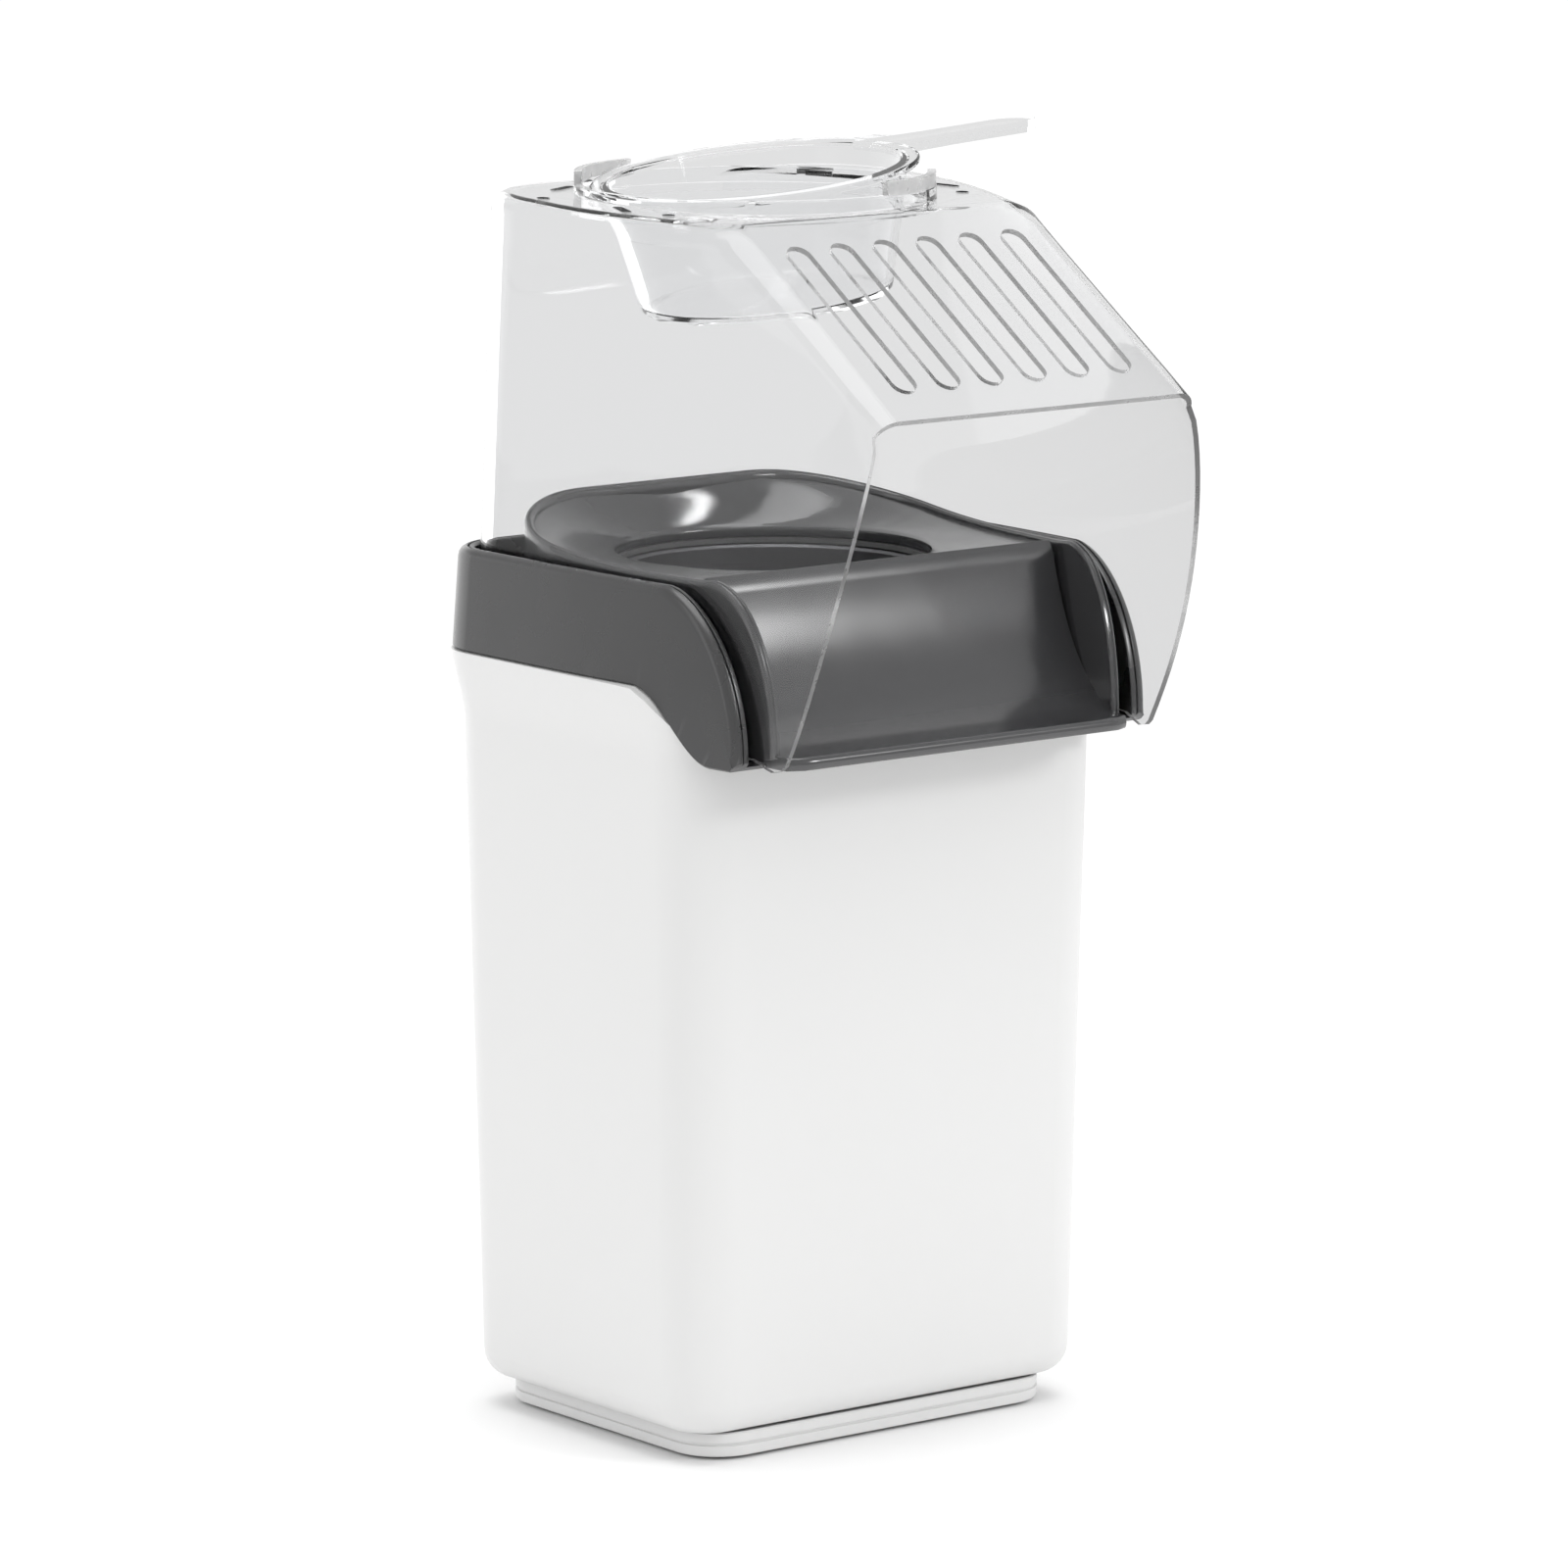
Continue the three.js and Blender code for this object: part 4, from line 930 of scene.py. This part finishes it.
# %% Ramp and lip
ramp_line = bend([(RIDGE_Y, RIDGE_Z), (-49, LIP_Z), (LIP_Y, LIP_Z)], 36)
ridge = [(RIDGE_Y + 3, RIDGE_Z - 1.0), (RIDGE_Y + 1.8, RIDGE_Z - 0.15), (RIDGE_Y + 0.8, RIDGE_Z + 0.1)]
lip = [(LIP_Y + 2.6, LIP_Z + 0.05), (LIP_Y + 1.9, LIP_Z + 0.4), (LIP_Y + 1.0, LIP_Z + 0.55),
       (LIP_Y + 0.2, LIP_Z + 0.25), (LIP_Y - 0.3, LIP_Z - 0.5), (LIP_Y - 0.35, LIP_Z - 1.2),
       (LIP_Y - 0.2, LIP_Z - 2.0), (LIP_Y + 0.2, ARM_Z + 0.1), (LIP_Y + 0.9, ARM_Z)]
underside = [(-44, ARM_Z), (-44, ARM_Z + 1.6), (-46, 168), (-42, 178), (-39, 196)]
ramp_side = ridge + ramp_line[1:-3] + lip + underside
across_steps = 28
ramp_points = []
for i in range(across_steps + 1):
    side = 2 * i / across_steps - 1
    corner = max(0.0, (abs(side) - 0.94) / 0.06)
    for k, (y, z) in enumerate(ramp_side):
        half = min(49.6, liner_plan(z).side(y) - 0.6)
        front = y < LIP_Y + 3
        ramp_points.append((side * half, y + (1.6 * corner ** 2.2 if front else 0), z))
ramp_faces = grid_faces(across_steps + 1, len(ramp_side), close_columns=True)
end = across_steps * len(ramp_side)
ramp_faces += [tuple(range(len(ramp_side))), tuple(range(end, end + len(ramp_side)))]
ramp = skin("ramp", ramp_points, ramp_faces)
soften_edges(ramp, 0.35, 60, 2)
for part in (cheeks, ramp):
    settle(part)
with bpy.context.temp_override(active_object=cheeks, selected_editable_objects=[cheeks, funnel, ramp]):
    bpy.ops.object.join()
cheeks.name = "chute_liner_skin"
present(cheeks, chute_plastic_painted_light, "base", ["chute_liner"], 40)

# %% [markdown]
# ## The hood
# The hood is one clear shell: upright walls round the sides and back, a flat top, and a slanted front
# panel with six long slots. It is open at the mouth. Its outer face is made first as a single skin.
# The shoulders get their round by formula, because a Bevel modifier would trip over the closely
# spaced corner stations. Solidify then gives the wall its thickness.

# %% Hood plan and side view
HOOD_TOP_Z, TOP_FRONT_Y, CREASE_Y, CREASE_Z, HOOD_BASE_Z = 282.7, -39.7, -96.3, 244.9, 193.0


def hood_plan(z):
    share = max(0.0, min(1.0, (z - HOOD_BASE_Z) / (HOOD_TOP_Z - HOOD_BASE_Z)))
    a, b, r, power = 58.9 - 0.6 * share, 45.6 + 1.2 * share, 14 + 9 * share, 2.2 - 0.6 * share
    if z >= CREASE_Z:
        up = min(1.0, (z - CREASE_Z) / (HOOD_TOP_Z - CREASE_Z))
        return Plan(a, b, r, 44.6 - 1.4 * up, lerp(CREASE_Y, TOP_FRONT_Y, up), power)
    down = (CREASE_Z - z) / (CREASE_Z - 166)
    front = 44.6 + 8.8 * math.sin(math.pi / 2 * min(1.0, down * 1.15)) ** 0.9
    return Plan(a, b, r, front, lerp(CREASE_Y - 0.6, -72.5, min(1.0, down) ** 1.7), power)


def top_rise(y):
    return 3.5 * (y - TOP_FRONT_Y) / 88


tip = [(-72.3, 165.9), (-71.2, 164.9), (-69.8, 164.35), (-68.4, 164.2), (-66.8, 164.4), (-65.4, 165.0),
       (-64.4, 165.9), (-63.2, 166.4), (-60, 166.5)]
step_down = bend([(-56, 166.6), (-44, 167), (-38, HOOD_BASE_Z), (-26, HOOD_BASE_Z)], 30)
hood_low = tip + step_down + [(10, HOOD_BASE_Z)]
mouth = bend([(CREASE_Y - 0.5, CREASE_Z - 2), (-90, 197), (-72.3, 165.9)], 40)
mouth = list(reversed(mouth)) + [(CREASE_Y, CREASE_Z)]
slant = [(CREASE_Y, CREASE_Z), (TOP_FRONT_Y, HOOD_TOP_Z)]
top_line = [(TOP_FRONT_Y, HOOD_TOP_Z), (10, HOOD_TOP_Z + top_rise(10))]
print("slanted panel:", round((Vector(slant[1]) - Vector(slant[0])).length, 1), "mm deep")

# %% [markdown]
# The hood's side has four curved borders: the lower edge, the shoulder, the mouth's edge and the line
# where the round back begins. A Coons patch fills it: the two ruled surfaces are added, and the flat one
# through the corners is taken away. The grid then follows all four borders exactly.

# %% Side of the hood as a patch between four curves
SLANT_STEPS, TOP_STEPS, WALL_ROWS = 14, 8, 18
upper = walk(slant, spread(SLANT_STEPS)) + walk(top_line, spread(TOP_STEPS))[1:]
along = SLANT_STEPS + TOP_STEPS
low_shares = [(i / along) ** 1.25 for i in range(along + 1)]
lower = walk(hood_low, low_shares)
rows = spread(WALL_ROWS)
front_column = walk(mouth, rows)
back_column = [(10, lerp(HOOD_BASE_Z, HOOD_TOP_Z + top_rise(10), v)) for v in rows]


def hood_side(i, j):
    """The patch's [y, z] at column i and row j."""
    u, v = i / along, rows[j]
    c0, c1, d0, d1 = (Vector(p) for p in (lower[i], upper[i], front_column[j], back_column[j]))
    corners = [Vector(p) for p in (lower[0], upper[0], lower[-1], upper[-1])]
    ruled = c0.lerp(c1, v) + d0.lerp(d1, u)
    flat = corners[0].lerp(corners[1], v).lerp(corners[2].lerp(corners[3], v), u)
    return ruled - flat


print("side patch:", along + 1, "columns,", WALL_ROWS + 1, "rows")

# %% [markdown]
# The columns run on round the back, from the right mouth edge to the left one. The plan turns each side
# view point into a place in space, so that the walls lean and draw in together.

# %% Hood columns
columns = []                                   # each one runs from the lower edge up to the shoulder
for i in range(along + 1):
    column = []
    for j in range(WALL_ROWS + 1):
        y, z = hood_side(i, j)
        column.append(Vector((hood_plan(z).side(y), y, z)))
    columns.append(column)
level = stations([(10, HOOD_BASE_Z)], [(10, 0)], lambda y: HOOD_BASE_Z,
                 lambda y: HOOD_TOP_Z + top_rise(y), 24, 14, 20)
behind = [s for s in level if s[0] != "side"]
straight = [s for s in level if s[0] == "side" and s[4] == 1][1:]
for station in straight + behind:
    columns.append([Vector(wall_point(hood_plan, station, v)) for v in rows])
for station in reversed(straight):
    columns.append([Vector(wall_point(hood_plan, (*station[:4], -1), v)) for v in rows])
for column in list(reversed(columns[:along + 1])):
    columns.append([Vector((-p.x, p.y, p.z)) for p in column])
print("hood columns:", len(columns))

# %% [markdown]
# Where the walls meet the top and the slanted panel, the hood has a soft shoulder. Each column gets a
# quarter round at its end, turned inward along the panel that it meets. The rest of the top and of the
# slanted panel is flat, so each is one large face inside the ring of rounds.

# %% Rounded shoulders, and the top and slanted panel inside them
HOOD_WALL, ROUND_WEIGHT = 1.3, math.sqrt(0.5)
SHOULDER, ROUND_STEPS = 4.5, 8
panel_normal = Vector((0, CREASE_Z - HOOD_TOP_Z, TOP_FRONT_Y - CREASE_Y)).normalized()
panel_normal = panel_normal if panel_normal.z > 0 else -panel_normal
top_normal = Vector((0, -3.5 / 88, 1)).normalized()
borders = [column[-1] for column in columns]
hood_points, inner_ring = [], []
for k, column in enumerate(columns):
    border = borders[k]
    ahead = borders[min(k + 1, len(borders) - 1)]
    last = borders[max(k - 1, 0)]
    tangent = (ahead - last).normalized()
    slanted = k < SLANT_STEPS or k > len(columns) - 1 - SLANT_STEPS
    normal = panel_normal if slanted else top_normal
    if k in (SLANT_STEPS, len(columns) - 1 - SLANT_STEPS):
        normal = (panel_normal + top_normal).normalized()
    inward = normal.cross(tangent).normalized()
    wall_up = border - column[-2]
    wall_up = (wall_up - tangent * wall_up.dot(tangent)).normalized()
    start, finish_point = border - wall_up * SHOULDER, border + inward * SHOULDER
    for j, point in enumerate(column[:-1]):
        hood_points.append(tuple(point + (start - border) * (j / WALL_ROWS) ** 8))
    for s in range(ROUND_STEPS + 1):
        t = s / ROUND_STEPS
        w0, w1, w2 = (1 - t) ** 2, 2 * t * (1 - t) * ROUND_WEIGHT, t * t
        hood_points.append(tuple((start * w0 + border * w1 + finish_point * w2) / (w0 + w1 + w2)))
    inner_ring.append(len(hood_points) - 1)
per_column = WALL_ROWS + ROUND_STEPS + 1
hood_faces = grid_faces(len(columns), per_column)
right_fold, left_fold = SLANT_STEPS, len(columns) - 1 - SLANT_STEPS
hood_faces.append(tuple(inner_ring[right_fold:left_fold + 1]))
hood_faces.append(tuple(inner_ring[:right_fold + 1] + inner_ring[left_fold:]))
hood = skin("hood_skin", hood_points, hood_faces)
for look in HOOD_LOOKS:
    hood.data.materials.append(look)
thick = hood.modifiers.new("wall", "SOLIDIFY")
thick.thickness, thick.offset = HOOD_WALL * MM, -1
thick.use_even_offset = True
thick.material_offset_rim = EDGE
settle(hood)
print("hood skin:", len(columns), "columns")

# %% [markdown]
# Six long slots let steam out of the slanted panel. Each tool is a bar with round ends, tipped to
# stand square on the panel. Small vents sit round the place of the cup. Each tool is marked with the
# look of the wall it leaves: slots get the edge's painted grey, painted shade in place of the lines
# that refraction draws there. The vents show as dark marks on such a hood, so their walls get a
# painted shade, a near-black grey.


# %% Slots in the panel
def long_bar(width, length, height, steps=10):
    """A bar with round ends along Y, standing on z at the origin."""
    outline = []
    r, e = width / 2, (length - width) / 2
    for i in range(steps + 1):
        a = math.pi * i / steps
        outline.append((r * math.cos(a), e + r * math.sin(a)))
    for i in range(steps + 1):
        a = math.pi + math.pi * i / steps
        outline.append((r * math.cos(a), -e + r * math.sin(a)))
    n = len(outline)
    return [(x, y, z) for z in (-height / 2, height / 2) for x, y in outline], prism_faces(n)


def marked(tool, which):
    """Marks a tool's faces, so that the walls it makes take that one of the hood's looks."""
    for material in HOOD_LOOKS:
        tool.data.materials.append(material)
    for face in tool.data.polygons:
        face.material_index = which
    return tool


slope = math.atan2(HOOD_TOP_Z - CREASE_Z, TOP_FRONT_Y - CREASE_Y)
panel_middle = Vector((0, lerp(TOP_FRONT_Y, CREASE_Y, 0.49), lerp(HOOD_TOP_Z, CREASE_Z, 0.49)))
tip_up = Matrix.Rotation(slope, 3, "X")
SLOTS, SLOT_WIDTH, SLOT_LENGTH, SLOT_PITCH = 6, 6.3, 51, 12.35
VENT_SLITS = [(37, 32.6, -24), (46.4, -3, -70)]         # x, y and turn, on both sides
VENT_HOLES = [(51, 21), (42.6, -15.4)]
tools = []
for i in range(SLOTS):
    points, faces = long_bar(SLOT_WIDTH, SLOT_LENGTH, 12)
    middle = panel_middle + Vector(((i - (SLOTS - 1) / 2) * SLOT_PITCH, 0, 0))
    points = [tuple(tip_up @ Vector(p) + middle) for p in points]
    tools.append(marked(skin("tool", points, faces), EDGE))
# The vent walls take the near-black painted grey: painted shade in the small holes.
for side in (-1, 1):
    for x, y, turn in VENT_SLITS:
        points, faces = long_bar(2.4, 9.2, 14)
        spin = Matrix.Rotation(math.radians(side * turn + 90), 3, "Z")
        points = [tuple(spin @ Vector(p) + Vector((side * x, y, HOOD_TOP_Z + 2))) for p in points]
        tools.append(marked(skin("tool", points, faces), VENT))
    for x, y in VENT_HOLES:
        pin = turned("tool", [(0, 276), (1.5, 276), (1.5, 292), (0, 292)], side * x, y, 20)
        tools.append(marked(pin, VENT))
print("slots and vents:", len(tools))
combine(hood, tools, "DIFFERENCE")

# %% [markdown]
# A low ring on top holds the cup by its flange. Two stretches of it stand higher, opposite each other,
# as guards that the cup can't slide over. The ring is joined on, then its well and the hole are turned
# out of it, in the same order as on a lathe.

# %% Ring for the cup
CUP_Y = 8.0
ring_body = turned("tool", [(0, 280.9), (42, 280.9), (42, 286), (41.6, 286.4), (0, 286.4)], 0, CUP_Y, 96)
combine(hood, [ring_body], "UNION")
well = turned("tool", [(0, 282.9), (39.8, 282.9), (39.8, 300), (0, 300)], 0, CUP_Y, 96)
hole = turned("tool", [(0, 270), (37.4, 270), (37.4, 300), (0, 300)], 0, CUP_Y, 96)
combine(hood, [well, hole], "DIFFERENCE")
# The guards' walls take the pale painted grey: painted light on the thick clear stretches.
guards = []
for begin in (99, 279):
    arc = [math.radians(begin + 48 * i / 16) for i in range(17)]
    outline = [(41.8 * math.cos(a), 41.8 * math.sin(a)) for a in arc]
    outline += [(40.0 * math.cos(a), 40.0 * math.sin(a)) for a in reversed(arc)]
    n = len(outline)
    points = [(x, y + CUP_Y, z) for z in (285.4, 289.4) for x, y in outline]
    guards.append(marked(skin("tool", points, prism_faces(n)), GUARD))
combine(hood, guards, "UNION")
soften_edges(hood, 0.3, 55, 2)
present(hood, clear_hood, "hood", ["hood"], 30)

# %% [markdown]
# ## The measuring cup
# The cup hangs in the ring by its flange, and its long flat handle sticks out to the right. It is
# turned like a bowl, and the handle is a flat tongue joined to it. The cup rests a few degrees off
# level in its ring, with the handle side up.

# %% Measuring cup
CUP_PROFILE = [
    (0, -29.5), (26.5, -29.5), (28.2, -29.2), (29.2, -28.3), (29.6, -27), (35.3, -0.6), (35.9, 0),
    (37.9, 0), (38.3, 0.4), (38.3, 1.2), (37.9, 1.6), (34.4, 1.6), (33.9, 1.2), (33.6, 0.4),
    (28.1, -26.2), (27.6, -27.3), (26.4, -27.9), (0, -27.9)]
CUP_Z, CUP_TILT, HANDLE_DROOP = 288, -7, 3
cup = turned("measuring_cup_skin", CUP_PROFILE, 0, 0, 96)
outline = [(36.5, -9), (44, -7.4), (54, -6.6), (75.5, -6.5)]
handle_end = [math.radians(a) for a in range(10, 180, 10)]
outline += [(75.5 + 6.5 * math.sin(a), -6.5 * math.cos(a)) for a in handle_end]
outline += [(75.5, 6.5), (54, 6.6), (44, 7.4), (36.5, 9)]
droop = math.radians(HANDLE_DROOP)
tongue_points = []
for z in (-1.1, 1.7):
    for x, y in outline:
        reach = x - 39
        tongue_points.append((39 + reach * math.cos(droop) + z * math.sin(droop), y,
                              z * math.cos(droop) - reach * math.sin(droop)))
n = len(outline)
tongue = skin("tool", tongue_points, prism_faces(n))
combine(cup, [tongue], "UNION")
cup_hollow = turned("tool", [(0, -10), (31.6, -10), (33.95, 1.7), (33.95, 8), (0, 8)], 0, 0, 96)
combine(cup, [cup_hollow], "DIFFERENCE")
soften_edges(cup, 0.35, 50, 2)
settle(cup)
home = place(0, 0, 0)
tilt_cup = Matrix.Rotation(math.radians(CUP_TILT), 4, "Y")
cup.data.transform(Matrix.Translation(place(0, CUP_Y, CUP_Z)) @ tilt_cup @ Matrix.Translation(-home))
present(cup, clear_cup, "cup", ["measuring_cup"], 30)

# %% [markdown]
# ## Popping chamber and the hot-air works
# The chamber is a drawn aluminium pot, visible through the chute's hole. It is turned again here so
# its rim is truly round. The works below it are hidden in use. Their mechanical shapes are right as
# they are, so they stay, with fine rounds on their edges and proper metal, mica and plastic finishes.

# %% Popping chamber
chamber_profile = [
    (0, 108), (28.6, 108), (30.6, 108.5), (32, 109.8), (32.6, 112), (35.7, 196), (36.2, 196.8),
    (38.2, 196.8), (38.2, 198), (35.2, 198), (34.6, 197.4), (31.4, 112.2), (30.6, 110.3), (29, 109.3),
    (0, 109.2)]
chamber = turned("popping_chamber_skin", chamber_profile, 0, AXIS_Y, 96)
LOUVRES, LOUVRE_LEAN = 12, 25
louvres = []
tilt = Matrix.Rotation(math.radians(LOUVRE_LEAN), 3, "X")
for i in range(LOUVRES):
    around = Matrix.Rotation(2 * math.pi * i / LOUVRES, 3, "Z")
    points = []
    for z in (-5, 5):
        for x, y in ((-4, -0.8), (4, -0.8), (4, 0.8), (-4, 0.8)):
            p = around @ (tilt @ Vector((x, y, z)) + Vector((32.4, 0, 120)))
            points.append((p.x, p.y + AXIS_Y, p.z))
    louvres.append(skin("tool", points, prism_faces(4)))
combine(chamber, louvres, "DIFFERENCE")
# The chamber's finish is painted dark: painted shade for its unlit inside, seen through the hole.
present(chamber, aluminium, "base", ["popping_chamber"], 35)

# %% [markdown]
# The works keep their mechanical meshes, so they need only a finish and a fine round on their edges. The
# heating coil is a bent wire without edges, so it gets no round.

# %% Finishes for the works
WORKS = {
    "heater_duct": steel, "heating_coil": steel, "motor_can": steel, "motor_shaft": steel,
    "motor_rotor": steel,
    "motor_bracket": steel, "thermostat": steel, "thermal_fuse": steel,
    "mica_board_wide": mica, "mica_board_deep": mica, "chamber_gasket": silicone,
    "fan_shroud": black_plastic, "fan_impeller": black_plastic, "motor_end_cap": black_plastic,
    "rectifier_board": board, "diode_1": black_plastic, "diode_2": black_plastic, "diode_3": black_plastic,
    "diode_4": black_plastic, "switch_body": black_plastic, "switch_rocker": black_plastic,
    "cord_gland": black_plastic,
}
for node, look in WORKS.items():
    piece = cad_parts[node]
    piece.data.materials.clear()
    piece.data.materials.append(look)
    if node != "heating_coil":
        soften_edges(piece, 0.25, 45, 2)
print("works:", len(WORKS), "nodes")

# %% [markdown]
# ## The end
# The scene is brought up to date once more.

# %% The end
bpy.context.view_layer.update()
